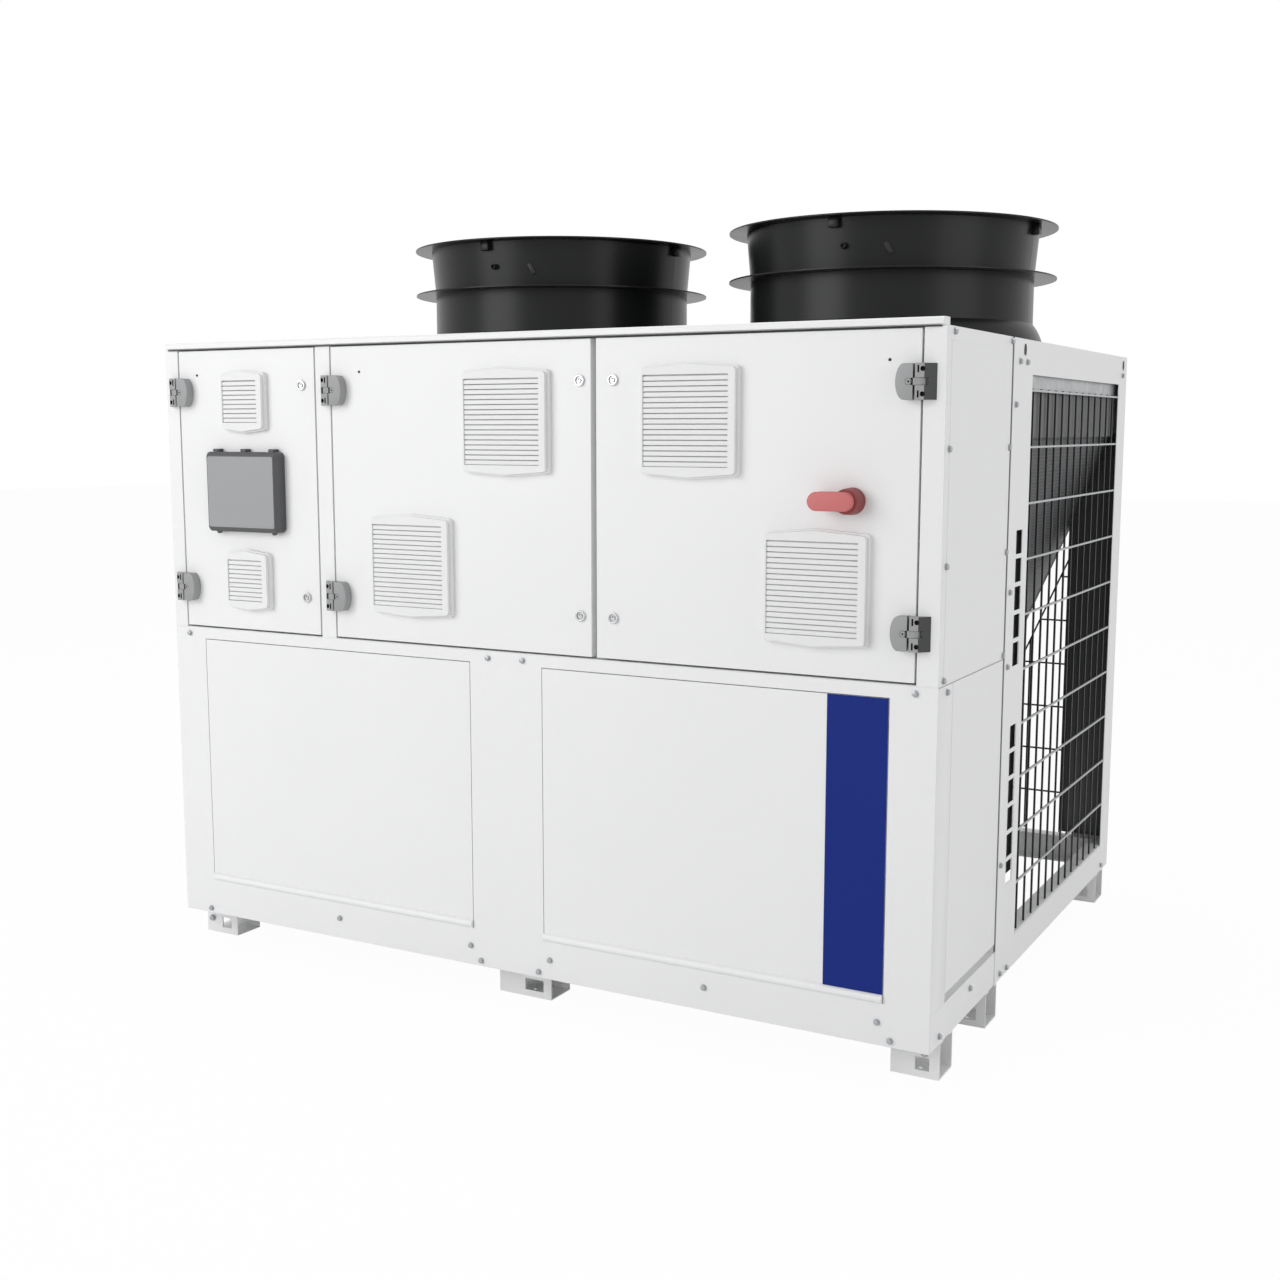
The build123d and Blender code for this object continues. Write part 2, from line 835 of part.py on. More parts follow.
# Display on the left door: a shallow housing with a screen, and a cover hinged along its top
display_left = 162.0
display_right = 421.0
display_bottom = 1199.0
display_top = 1416.0
housing_reach = 10.0
cover_reach = 34.0
cover_round = 14.0
cover_bevel = 10.0
cover_wall = 3.0
cover_start = housing_reach + seat
cover_knuckle = 4.0
cover_pin = 1.6
knuckle_length = 12.0
ear_thick = 4.0
cover_axis_back = -cover_start - cover_knuckle
cover_axis_height = display_top + cover_knuckle
catch_radius = 7.0
catch_inset = 30.0
screen_margin = 34.0
screen_thick = 2.0
display_width = display_right - display_left
display_height = display_top - display_bottom
display_x = (display_left + display_right) / 2
display_z = (display_bottom + display_top) / 2
cover_knuckles = (display_left + catch_inset, display_x, display_right - catch_inset)

with BuildPart() as display_housing:
    with BuildSketch(front_face()):
        with Locations((display_x, display_z)):
            RectangleRounded(display_width, display_height, cover_round)
    extrude(amount=housing_reach)
    for x in cover_knuckles:
        for start in (x - knuckle_length / 2 - ear_thick - seat, x + knuckle_length / 2 + seat):
            with BuildSketch(side_face(start)):
                field(cover_axis_back, display_top - sheet, 0, cover_axis_height + cover_knuckle)
                with Locations((cover_axis_back, cover_axis_height)):
                    Circle(cover_knuckle)
                field(cover_axis_back - cover_knuckle, display_bottom, -housing_reach, display_top,
                      mode=Mode.SUBTRACT)
            extrude(amount=ear_thick)
        with BuildSketch(side_face(x - knuckle_length / 2 - seat)):
            with Locations((cover_axis_back, cover_axis_height)):
                Circle(cover_pin)
        extrude(amount=knuckle_length + 2 * seat)
keep(display_housing, "display_housing")

with BuildPart() as display_screen:
    with BuildSketch(front_face(-housing_reach)):
        with Locations((display_x, display_z)):
            RectangleRounded(display_width - 2 * screen_margin, display_height - 2 * screen_margin,
                             sheet)
    extrude(amount=screen_thick)
keep(display_screen, "display_screen")

with BuildPart() as display_cover:
    with BuildSketch(front_face(-cover_start)):
        with Locations((display_x, display_z)):
            RectangleRounded(display_width, display_height, cover_round)
    extrude(amount=cover_reach - cover_start)
    chamfer(display_cover.faces().sort_by(Axis.Y)[0].edges(), cover_bevel)
    with BuildSketch(front_face(-cover_start)):
        with Locations((display_x, display_z)):
            RectangleRounded(display_width - 2 * cover_bevel - 2 * cover_wall,
                             display_height - 2 * cover_bevel - 2 * cover_wall, cover_wall)
    extrude(amount=cover_reach - cover_start - cover_wall, mode=Mode.SUBTRACT)
    for x in cover_knuckles:
        with BuildSketch(side_face(x - knuckle_length / 2)):
            field(cover_axis_back - cover_knuckle, display_top - sheet, cover_axis_back,
                  cover_axis_height)
            with Locations((cover_axis_back, cover_axis_height)):
                Circle(cover_knuckle)
        extrude(amount=knuckle_length)
        with BuildSketch(side_face(x - knuckle_length / 2)):
            with Locations((cover_axis_back, cover_axis_height)):
                Circle(cover_pin + seat)
        extrude(amount=knuckle_length, mode=Mode.SUBTRACT)
    for x in (cover_knuckles[0], cover_knuckles[2]):
        with BuildSketch(front_face(-cover_start)):
            with Locations((x, display_bottom)):
                Circle(catch_radius)
            field(x - catch_radius, display_bottom + sheet, x + catch_radius, display_top,
                  mode=Mode.SUBTRACT)
        extrude(amount=catch_radius)
keep(display_cover, "display_cover")

# Isolator on the right door: a round base and the turning handle
isolator_x = 2045.0
isolator_z = 1321.0
isolator_radius = 30.0
isolator_base = 14.0
lever_length = 64.0
lever_height = 42.0

with BuildPart() as isolator_mount:
    with BuildSketch(front_face()):
        with Locations((isolator_x, isolator_z)):
            Circle(isolator_radius)
    extrude(amount=isolator_base)
keep(isolator_mount, "isolator_mount")

with BuildPart() as isolator_handle:
    with BuildSketch(front_face(-isolator_base - seat)):
        with Locations((isolator_x, isolator_z)):
            Circle(isolator_radius)
        with Locations((isolator_x - lever_length / 2, isolator_z)):
            SlotOverall(lever_length + lever_height, lever_height)
    extrude(amount=handle_reach - isolator_base - seat)
keep(isolator_handle, "isolator_handle")

# Rear guards: wires in the openings beside and between the coils
guard_foot = rail_top + wire
guard_edge = 42.0
guard_back = coil_end + sheet


def slope_x(height):
    """Distance of a rear guard's sloping edge wire from the middle of its coils."""
    return (height - coil_apex) / coil_slope + guard_edge


def rear_guard(x0, x1, top):
    """Wires between two places along the rear and up to a height."""
    heights = [z for z in guard_levels if z < top]
    with BuildSketch(front_face(guard_back)) as outline:
        for height in heights:
            field(x0, height - wire / 2, x1, height + wire / 2)
        count = int((x1 - x0) // upright_pitch)
        for column in range(count + 1):
            x = x0 + column * (x1 - x0 - wire) / count
            field(x, guard_foot, x + wire, top)
    extrude(outline.sketch, amount=-wire)


def slanted(corners):
    """Cuts the guard to the outline that its corners give."""
    with BuildSketch(front_face(guard_back)) as outline:
        with BuildLine():
            Polyline(*corners, close=True)
        make_face()
    extrude(outline.sketch, amount=-wire, mode=Mode.INTERSECT)


def edge_wire(start, end):
    """The sloping wire along a guard's edge."""
    (x0, z0), (x1, z1) = start, end
    side = wire if x0 > 0 else -wire
    with BuildSketch(front_face(guard_back)) as outline:
        with BuildLine():
            Polyline((x0, z0), (x1, z1), (x1 + side, z1), (x0 + side, z0), close=True)
        make_face()
    extrude(outline.sketch, amount=-wire)


guard_foot_x = fan_centres[1] + slope_x(shoulder_height)
post_x = length - rear_post_width + sheet
guard_top = coil_apex + coil_slope * (post_x - fan_centres[1] - guard_edge)

with BuildPart() as outer_rear_guards:
    rear_guard(fan_centres[1] + beam_half + seat, post_x, guard_top)
    slanted(((fan_centres[1] + beam_half + seat, guard_foot), (post_x, guard_foot),
             (post_x, guard_top), (guard_foot_x, shoulder_height),
             (fan_centres[1] + beam_half + seat, shoulder_height)))
    edge_wire((guard_foot_x, shoulder_height), (post_x - wire, guard_top - wire * coil_slope))
    mirror(about=Plane.YZ)
keep(outer_rear_guards, "outer_rear_guards")

centre_foot_x = fan_centres[0] + beam_half + seat
centre_slope_x = fan_centres[0] + slope_x(shoulder_height)
centre_top = coil_apex + coil_slope * (length / 2 - fan_centres[0] - guard_edge)

with BuildPart() as centre_rear_guard:
    rear_guard(centre_foot_x, length - centre_foot_x, centre_top)
    slanted(((centre_foot_x, guard_foot), (length - centre_foot_x, guard_foot),
             (length - centre_foot_x, shoulder_height), (length - centre_slope_x, shoulder_height),
             (length / 2, centre_top), (centre_slope_x, shoulder_height),
             (centre_foot_x, shoulder_height)))
    edge_wire((centre_slope_x, shoulder_height), (length / 2, centre_top))
    edge_wire((length - centre_slope_x - wire, shoulder_height), (length / 2 - wire, centre_top))
keep(centre_rear_guard, "centre_rear_guard")
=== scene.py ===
import math

import bmesh
import bpy
from mathutils import Matrix, Vector


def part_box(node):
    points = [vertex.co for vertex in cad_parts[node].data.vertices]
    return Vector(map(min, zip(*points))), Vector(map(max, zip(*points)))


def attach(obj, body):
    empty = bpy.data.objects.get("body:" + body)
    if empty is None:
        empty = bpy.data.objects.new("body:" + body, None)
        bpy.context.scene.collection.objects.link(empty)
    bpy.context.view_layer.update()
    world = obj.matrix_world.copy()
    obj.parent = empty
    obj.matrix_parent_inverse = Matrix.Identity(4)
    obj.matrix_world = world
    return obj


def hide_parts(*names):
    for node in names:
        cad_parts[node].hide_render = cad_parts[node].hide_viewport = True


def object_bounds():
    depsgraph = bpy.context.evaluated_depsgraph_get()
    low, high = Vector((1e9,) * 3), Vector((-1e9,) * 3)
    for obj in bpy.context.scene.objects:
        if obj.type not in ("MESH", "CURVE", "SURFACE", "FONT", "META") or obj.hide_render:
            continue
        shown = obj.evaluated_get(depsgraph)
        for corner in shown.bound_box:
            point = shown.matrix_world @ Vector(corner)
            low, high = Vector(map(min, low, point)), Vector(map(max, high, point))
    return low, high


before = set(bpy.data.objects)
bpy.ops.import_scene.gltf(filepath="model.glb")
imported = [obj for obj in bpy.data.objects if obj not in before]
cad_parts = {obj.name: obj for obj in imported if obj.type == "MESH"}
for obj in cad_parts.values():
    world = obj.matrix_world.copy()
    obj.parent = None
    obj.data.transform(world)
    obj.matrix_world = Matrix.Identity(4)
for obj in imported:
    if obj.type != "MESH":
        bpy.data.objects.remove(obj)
cad_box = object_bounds()

# The studio: a pale floor that keeps the machine's soft shadow, in an even white surround.
# Three large soft boxes light the front, the right hand end and the roof.
floor_size = 60.0
floor_white_share = 0.97
floor_grey = 0.86
surround_level = 0.50
soft_boxes = (
    ("front_box", (-3.6, -6.4, 3.4), 4.5, 218.0),
    ("side_box", (6.6, -1.6, 3.0), 4.0, 66.0),
    ("roof_box", (-0.5, 1.5, 7.5), 6.0, 170.0),
)


def white_seen(nodes, links):
    """1 where a camera, glossy or transmitted ray looks, and 0 for the light on the machine."""
    path = nodes.new("ShaderNodeLightPath")
    gloss = nodes.new("ShaderNodeMath")
    gloss.operation = "MAXIMUM"
    links.new(path.outputs["Is Camera Ray"], gloss.inputs[0])
    links.new(path.outputs["Is Glossy Ray"], gloss.inputs[1])
    seen = nodes.new("ShaderNodeMath")
    seen.operation = "MAXIMUM"
    links.new(gloss.outputs[0], seen.inputs[0])
    links.new(path.outputs["Is Transmission Ray"], seen.inputs[1])
    return seen.outputs[0]


bpy.ops.object.select_all(action="DESELECT")
bpy.ops.mesh.primitive_plane_add(size=floor_size)
floor = bpy.context.object
floor.name = "studio_floor"
floor_paint = bpy.data.materials.new("studio_floor")
floor_paint.use_nodes = True
nodes, links = floor_paint.node_tree.nodes, floor_paint.node_tree.links
matt = nodes["Principled BSDF"]
matt.inputs["Base Color"].default_value = (floor_grey, floor_grey, floor_grey, 1.0)
matt.inputs["Roughness"].default_value = 0.9
matt.inputs["Specular IOR Level"].default_value = 0.0
white = nodes.new("ShaderNodeEmission")
shown = nodes.new("ShaderNodeMixShader")
shown.inputs["Fac"].default_value = floor_white_share
links.new(matt.outputs[0], shown.inputs[1])
links.new(white.outputs[0], shown.inputs[2])
by_ray = nodes.new("ShaderNodeMixShader")
links.new(white_seen(nodes, links), by_ray.inputs["Fac"])
links.new(matt.outputs[0], by_ray.inputs[1])
links.new(shown.outputs[0], by_ray.inputs[2])
links.new(by_ray.outputs[0], nodes["Material Output"].inputs["Surface"])
floor.data.materials.append(floor_paint)

world = bpy.data.worlds.new("surround")
world.use_nodes = True
bpy.context.scene.world = world
nodes, links = world.node_tree.nodes, world.node_tree.links
dim = nodes["Background"]
dim.inputs["Color"].default_value = (1.0, 1.0, 1.0, 1.0)
dim.inputs["Strength"].default_value = surround_level
bright = nodes.new("ShaderNodeBackground")
bright.inputs["Color"].default_value = (1.0, 1.0, 1.0, 1.0)
by_ray = nodes.new("ShaderNodeMixShader")
links.new(white_seen(nodes, links), by_ray.inputs["Fac"])
links.new(dim.outputs[0], by_ray.inputs[1])
links.new(bright.outputs[0], by_ray.inputs[2])
links.new(by_ray.outputs[0], nodes["World Output"].inputs["Surface"])

machine_middle = (cad_box[0] + cad_box[1]) / 2
for name, place, size, power in soft_boxes:
    bpy.ops.object.light_add(type="AREA", location=place)
    lamp = bpy.context.object
    lamp.name = name
    lamp.data.shape = "SQUARE"
    lamp.data.size = size
    lamp.data.energy = power
    lamp.rotation_euler = (machine_middle - Vector(place)).to_track_quat("-Z", "Y").to_euler()

camera_place = (2.1685, -4.0782, 1.4777)
camera_tilt = 82.283
camera_turn = 28.932
camera_lens = 43.797
camera_sensor = 36.0
bpy.ops.object.camera_add(
    location=camera_place, rotation=(math.radians(camera_tilt), 0.0, math.radians(camera_turn)))
camera = bpy.context.object
camera.data.lens = camera_lens
camera.data.sensor_width = camera_sensor
camera.data.sensor_fit = "HORIZONTAL"
bpy.context.scene.camera = camera
bpy.context.scene.view_settings.view_transform = "Standard"

# White panels, posts and rails: steel sheet with a baked powder coat. The coat has a fine
# orange peel, a slight unevenness of gloss, and its folded edges are shaded as rounded.


def skin_group():
    """An uneven coat: a mask for its colour, its roughness, and the normal of its fine peel."""
    group = bpy.data.node_groups.new("uneven_coat", "ShaderNodeTree")
    for name, value in (("Cloud Scale", 3.0), ("Peel Scale", 420.0), ("Peel Height", 0.00004),
                        ("Roughness", 0.4), ("Gloss Change", 0.06), ("Edge Radius", 0.0012)):
        socket = group.interface.new_socket(name, in_out="INPUT", socket_type="NodeSocketFloat")
        socket.default_value = value
    group.interface.new_socket("Mask", in_out="OUTPUT", socket_type="NodeSocketFloat")
    group.interface.new_socket("Roughness", in_out="OUTPUT", socket_type="NodeSocketFloat")
    group.interface.new_socket("Normal", in_out="OUTPUT", socket_type="NodeSocketVector")
    nodes, links = group.nodes, group.links
    given = nodes.new("NodeGroupInput")
    result = nodes.new("NodeGroupOutput")
    place = nodes.new("ShaderNodeTexCoord")
    cloud = nodes.new("ShaderNodeTexNoise")
    cloud.inputs["Detail"].default_value = 4.0
    links.new(place.outputs["Object"], cloud.inputs["Vector"])
    links.new(given.outputs["Cloud Scale"], cloud.inputs["Scale"])
    links.new(cloud.outputs["Fac"], result.inputs["Mask"])
    peel = nodes.new("ShaderNodeTexNoise")
    peel.inputs["Detail"].default_value = 2.0
    links.new(place.outputs["Object"], peel.inputs["Vector"])
    links.new(given.outputs["Peel Scale"], peel.inputs["Scale"])
    rounding = nodes.new("ShaderNodeBevel")
    rounding.samples = 4
    links.new(given.outputs["Edge Radius"], rounding.inputs["Radius"])
    bump = nodes.new("ShaderNodeBump")
    bump.inputs["Strength"].default_value = 1.0
    links.new(given.outputs["Peel Height"], bump.inputs["Distance"])
    links.new(peel.outputs["Fac"], bump.inputs["Height"])
    links.new(rounding.outputs["Normal"], bump.inputs["Normal"])
    links.new(bump.outputs["Normal"], result.inputs["Normal"])
    change = nodes.new("ShaderNodeMath")
    change.operation = "MULTIPLY_ADD"
    links.new(cloud.outputs["Fac"], change.inputs[0])
    links.new(given.outputs["Gloss Change"], change.inputs[1])
    links.new(given.outputs["Roughness"], change.inputs[2])
    links.new(change.outputs[0], result.inputs["Roughness"])
    return group


uneven_coat = skin_group()


def coated(name, pale, deep, metal=0.0, shine=0.5, **coat):
    """A finish between two close colours, with the uneven coat's roughness and peel."""
    finish = bpy.data.materials.new(name)
    finish.use_nodes = True
    nodes, links = finish.node_tree.nodes, finish.node_tree.links
    shader = nodes["Principled BSDF"]
    shader.inputs["Metallic"].default_value = metal
    shader.inputs["Specular IOR Level"].default_value = shine
    skin = nodes.new("ShaderNodeGroup")
    skin.node_tree = uneven_coat
    skin.name = "coat"
    for key, value in coat.items():
        skin.inputs[key.replace("_", " ").title()].default_value = value
    tint = nodes.new("ShaderNodeMix")
    tint.data_type = "RGBA"
    tint.name = "tint"
    tint.inputs["A"].default_value = (*deep, 1.0)
    tint.inputs["B"].default_value = (*pale, 1.0)
    links.new(skin.outputs["Mask"], tint.inputs["Factor"])
    links.new(tint.outputs["Result"], shader.inputs["Base Color"])
    links.new(skin.outputs["Roughness"], shader.inputs["Roughness"])
    links.new(skin.outputs["Normal"], shader.inputs["Normal"])
    return finish


def dress(finish, *names):
    """Gives CAD nodes their finish."""
    for name in names:
        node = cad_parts[name]
        if not node.material_slots:
            node.data.materials.append(None)
        for place in node.material_slots:
            place.link = "OBJECT"
            place.material = finish


white_paint = coated("white_paint", (0.87, 0.872, 0.875), (0.84, 0.842, 0.846), roughness=0.36)
dress(white_paint, "base_frame", "section_floor", "lower_front_frame", "lower_left_panel",
      "lower_right_panel", "lower_side_panels", "upper_side_panels", "side_skirts",
      "section_rear_wall", "cabinet_floor", "section_roof", "rain_strip", "front_posts",
      "door_frame", "cabinet_partition", "left_side_frame", "right_side_frame", "rear_posts",
      "rear_top_rail", "fan_deck", "left_door", "middle_door", "right_door")

# Feet: folded steel channels under the base, with a thin pale coat over the zinc.
foot_steel = coated("foot_steel", (0.86, 0.862, 0.865), (0.80, 0.802, 0.806), metal=0.1,
                    roughness=0.30, gloss_change=0.12)
dress(foot_steel, "feet")

# Trim band: blue film pressed on the right hand lower panel, with a soft sheen.
band_blue = coated("band_blue", (0.006, 0.024, 0.215), (0.005, 0.021, 0.195), shine=0.15,
                   roughness=0.34)
dress(band_blue, "blue_band")

# Zinc sheet: the plates round the coils and behind the switchgear, bare galvanised steel. The
# zinc shows its spangle, flat crystals a few centimetres across that each catch light alone.


def spangle_group():
    """Zinc crystals: a flat value for each cell, spread over the sheet."""
    group = bpy.data.node_groups.new("zinc_spangle", "ShaderNodeTree")
    cell_size = group.interface.new_socket("Crystals Per Metre", in_out="INPUT",
                                           socket_type="NodeSocketFloat")
    cell_size.default_value = 45.0
    group.interface.new_socket("Mask", in_out="OUTPUT", socket_type="NodeSocketFloat")
    nodes, links = group.nodes, group.links
    given = nodes.new("NodeGroupInput")
    result = nodes.new("NodeGroupOutput")
    place = nodes.new("ShaderNodeTexCoord")
    crystals = nodes.new("ShaderNodeTexVoronoi")
    links.new(place.outputs["Object"], crystals.inputs["Vector"])
    links.new(given.outputs[0], crystals.inputs["Scale"])
    grey = nodes.new("ShaderNodeRGBToBW")
    links.new(crystals.outputs["Color"], grey.inputs["Color"])
    links.new(grey.outputs["Val"], result.inputs["Mask"])
    return group


def masked(finish, group, colour, **values):
    """Lays a third colour over a finish where a group's mask says, and returns the group node."""
    nodes, links = finish.node_tree.nodes, finish.node_tree.links
    mask = nodes.new("ShaderNodeGroup")
    mask.node_tree = group
    for key, value in values.items():
        mask.inputs[key.replace("_", " ").title()].default_value = value
    over = nodes.new("ShaderNodeMix")
    over.data_type = "RGBA"
    over.inputs["B"].default_value = (*colour, 1.0)
    links.new(mask.outputs["Mask"], over.inputs["Factor"])
    links.new(nodes["tint"].outputs["Result"], over.inputs["A"])
    links.new(over.outputs["Result"], nodes["Principled BSDF"].inputs["Base Color"])
    return mask


zinc_sheet = coated("zinc_sheet", (0.42, 0.43, 0.44), (0.36, 0.37, 0.38), metal=0.6,
                    roughness=0.36, gloss_change=0.15)
masked(zinc_sheet, spangle_group(), (0.52, 0.53, 0.54))
dress(zinc_sheet, "mounting_plates", "plenum_plates", "rear_coil_plates", "coil_beams")

# Coils: flat aluminium tubes with folded fins between them, coated dark against acid rain.
# The tubes lie level, so the face shows as fine level ribs with darker fins between them.


def ribs_group():
    """Level ribs: 1 along each rib and 0 between, with their rounded normal."""
    group = bpy.data.node_groups.new("level_ribs", "ShaderNodeTree")
    for name, value in (("Ribs Per Metre", 100.0), ("Rib Height", 0.0006)):
        socket = group.interface.new_socket(name, in_out="INPUT", socket_type="NodeSocketFloat")
        socket.default_value = value
    group.interface.new_socket("Mask", in_out="OUTPUT", socket_type="NodeSocketFloat")
    group.interface.new_socket("Normal", in_out="OUTPUT", socket_type="NodeSocketVector")
    nodes, links = group.nodes, group.links
    given = nodes.new("NodeGroupInput")
    result = nodes.new("NodeGroupOutput")
    place = nodes.new("ShaderNodeTexCoord")
    height = nodes.new("ShaderNodeSeparateXYZ")
    links.new(place.outputs["Object"], height.inputs[0])
    turns = nodes.new("ShaderNodeMath")
    turns.operation = "MULTIPLY"
    links.new(height.outputs["Z"], turns.inputs[0])
    links.new(given.outputs["Ribs Per Metre"], turns.inputs[1])
    wave = nodes.new("ShaderNodeMath")
    wave.operation = "PINGPONG"
    wave.inputs[1].default_value = 0.5
    links.new(turns.outputs[0], wave.inputs[0])
    full = nodes.new("ShaderNodeMath")
    full.operation = "MULTIPLY"
    full.inputs[1].default_value = 2.0
    links.new(wave.outputs[0], full.inputs[0])
    links.new(full.outputs[0], result.inputs["Mask"])
    bump = nodes.new("ShaderNodeBump")
    links.new(given.outputs["Rib Height"], bump.inputs["Distance"])
    links.new(full.outputs[0], bump.inputs["Height"])
    links.new(bump.outputs["Normal"], result.inputs["Normal"])
    return group


coil_fins = coated("coil_fins", (0.066, 0.068, 0.072), (0.048, 0.050, 0.053), metal=0.2,
                   roughness=0.45)
ribs = masked(coil_fins, ribs_group(), (0.105, 0.108, 0.112))
coil_fins.node_tree.links.new(ribs.outputs["Normal"],
                              coil_fins.node_tree.nodes["Principled BSDF"].inputs["Normal"])
dress(coil_fins, "coils")

# Wire guards: steel wire welded in a grid. The uprights are coated black, and the level wires
# welded outside them are black too; on the side guards they are coloured pale grey as a painted
# highlight from the light above.
guard_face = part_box("right_side_guard")[1][0]
guard_wire = 0.005
outer_share = 0.78
wire_blacks = ((0.012, 0.012, 0.013), (0.008, 0.008, 0.009))
# Painted highlight: the pale grey that the side guards' level wires take.
level_wire_highlight = (0.50, 0.51, 0.52)


def outside_group():
    """1 on what lies further from the machine's middle than a given distance, else 0."""
    group = bpy.data.node_groups.new("outer_wires", "ShaderNodeTree")
    socket = group.interface.new_socket("Distance", in_out="INPUT",
                                        socket_type="NodeSocketFloat")
    socket.default_value = 1.0
    group.interface.new_socket("Mask", in_out="OUTPUT", socket_type="NodeSocketFloat")
    nodes, links = group.nodes, group.links
    given = nodes.new("NodeGroupInput")
    result = nodes.new("NodeGroupOutput")
    place = nodes.new("ShaderNodeTexCoord")
    across = nodes.new("ShaderNodeSeparateXYZ")
    links.new(place.outputs["Object"], across.inputs[0])
    far = nodes.new("ShaderNodeMath")
    far.operation = "ABSOLUTE"
    links.new(across.outputs["X"], far.inputs[0])
    beyond = nodes.new("ShaderNodeMath")
    beyond.operation = "GREATER_THAN"
    links.new(far.outputs[0], beyond.inputs[0])
    links.new(given.outputs[0], beyond.inputs[1])
    links.new(beyond.outputs[0], result.inputs["Mask"])
    return group


black_wire = coated("black_wire", *wire_blacks, roughness=0.4)
side_wire = coated("side_wire", *wire_blacks, roughness=0.4)
masked(side_wire, outside_group(), level_wire_highlight, distance=guard_face - guard_wire * outer_share)
dress(black_wire, "outer_rear_guards", "centre_rear_guard")
dress(side_wire, "left_side_guard", "right_side_guard")

# Fan ducts: black moulded plastic with a satin face, on square moulded bases.
duct_black = coated("duct_black", (0.0105, 0.011, 0.0118), (0.0085, 0.009, 0.0098), shine=0.22,
                    roughness=0.27)
dress(duct_black, "left_fan_duct", "right_fan_duct", "fan_bases")


def alone():
    """Deselects everything, so that an operator acts on the next piece only."""
    if bpy.context.mode != "OBJECT":
        bpy.ops.object.mode_set(mode="OBJECT")
    bpy.ops.object.select_all(action="DESELECT")


def opened(piece, kind="VERT"):
    """Opens a piece in edit mode, all of it selected."""
    alone()
    piece.select_set(True)
    bpy.context.view_layer.objects.active = piece
    bpy.ops.object.mode_set(mode="EDIT")
    bpy.ops.mesh.select_mode(type=kind)
    bpy.ops.mesh.select_all(action="SELECT")


def pick(piece, wanted):
    """Opens a piece with only the faces selected whose normal passes a test."""
    opened(piece, "FACE")
    bpy.ops.mesh.select_all(action="DESELECT")
    mesh = bmesh.from_edit_mesh(piece.data)
    for face in mesh.faces:
        if wanted(face.normal):
            face.select_set(True)
    bmesh.update_edit_mesh(piece.data)


def rounded(edge, rounds):
    """Bevels what is selected on the piece that is open, and closes it."""
    bpy.ops.mesh.bevel(offset=edge, segments=rounds, affect="EDGES")
    bpy.ops.object.mode_set(mode="OBJECT")


def block(size, place, edge=0.0, rounds=2):
    """A rounded block of a given size about a given place."""
    alone()
    bpy.ops.mesh.primitive_cube_add(size=1.0, location=place)
    piece = bpy.context.object
    piece.scale = size
    bpy.ops.object.transform_apply(location=True, rotation=True, scale=True)
    if edge:
        opened(piece)
        rounded(edge, rounds)
    return piece


def rod(radius, deep, place, edge=0.0, sides=24):
    """A round rod along Z about a given place, its rims bevelled."""
    alone()
    bpy.ops.mesh.primitive_cylinder_add(vertices=sides, radius=radius, depth=deep, location=place)
    piece = bpy.context.object
    bpy.ops.object.transform_apply(location=True, rotation=True, scale=True)
    if edge:
        pick(piece, lambda normal: abs(normal.z) > 0.9)
        rounded(edge, 2)
    return piece


def joined(pieces, name):
    """Joins pieces into one with a given name, with smooth rounds and clean edges."""
    alone()
    for piece in pieces:
        piece.select_set(True)
    bpy.context.view_layer.objects.active = pieces[0]
    if len(pieces) > 1:
        bpy.ops.object.join()
    whole = bpy.context.object
    whole.name = name
    whole.data.name = name
    bpy.ops.object.transform_apply(location=True, rotation=True, scale=True)
    bpy.ops.object.shade_smooth_by_angle(angle=math.radians(35.0))
    return whole


def copies(piece, moves, name):
    """Copies of a piece, each with its own mesh, at a list of moves, joined under one name."""
    made = []
    for move in moves:
        double = piece.copy()
        double.data = piece.data.copy()
        bpy.context.collection.objects.link(double)
        double.data.transform(move)
        if move.determinant() < 0:
            double.data.flip_normals()
        made.append(double)
    bpy.data.objects.remove(piece)
    return joined(made, name)


def fitted(piece, finish, body):
    """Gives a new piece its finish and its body."""
    if not piece.data.materials:
        piece.data.materials.append(finish)
    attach(piece, body)


def round_duct(name, angle):
    """The move from the X axis to a place round a duct's own axis."""
    low, high = (Vector(corner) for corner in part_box(name))
    middle = (low + high) / 2
    return Matrix.Translation((middle.x, middle.y, 0.0)) @ Matrix.Rotation(
        math.radians(angle), 4, "Z")


duct_names = ("left_fan_duct", "right_fan_duct")
duct_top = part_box(duct_names[0])[1][2]
flange_thick = 0.004
clip_size = (0.024, 0.030, 0.028)
clip_edge = 0.003
clip_radius = 0.424
clip_angles = (-91.0, -1.0, 89.0, 179.0)
clip = block(clip_size, (clip_radius, 0.0, duct_top - flange_thick - clip_size[2] / 2),
             clip_edge)
clips = copies(clip, [round_duct(name, angle) for name in duct_names for angle in clip_angles],
               "duct_clips")
fitted(clips, duct_black, "housing")

# Sampling bosses on the cones of the ducts: a moulded stub with a blind hole, and beside it
# the slanting pocket that takes the guard's hook. Both are cast in the duct's own plastic; the
# pocket is drawn as a near black block that paints the shade in its hollow.
boss_height = 1.963
boss_angle = -87.5
boss_radius = 0.0085
boss_long = 0.016
boss_face = 0.420
boss_edge = 0.0012
boss_wall_share = 0.45
hook_angle = -71.0
hook_height = 1.955
hook_size = (0.006, 0.013, 0.034)
hook_edge = 0.0015
hook_face = 0.4125
hook_lean = 28.0

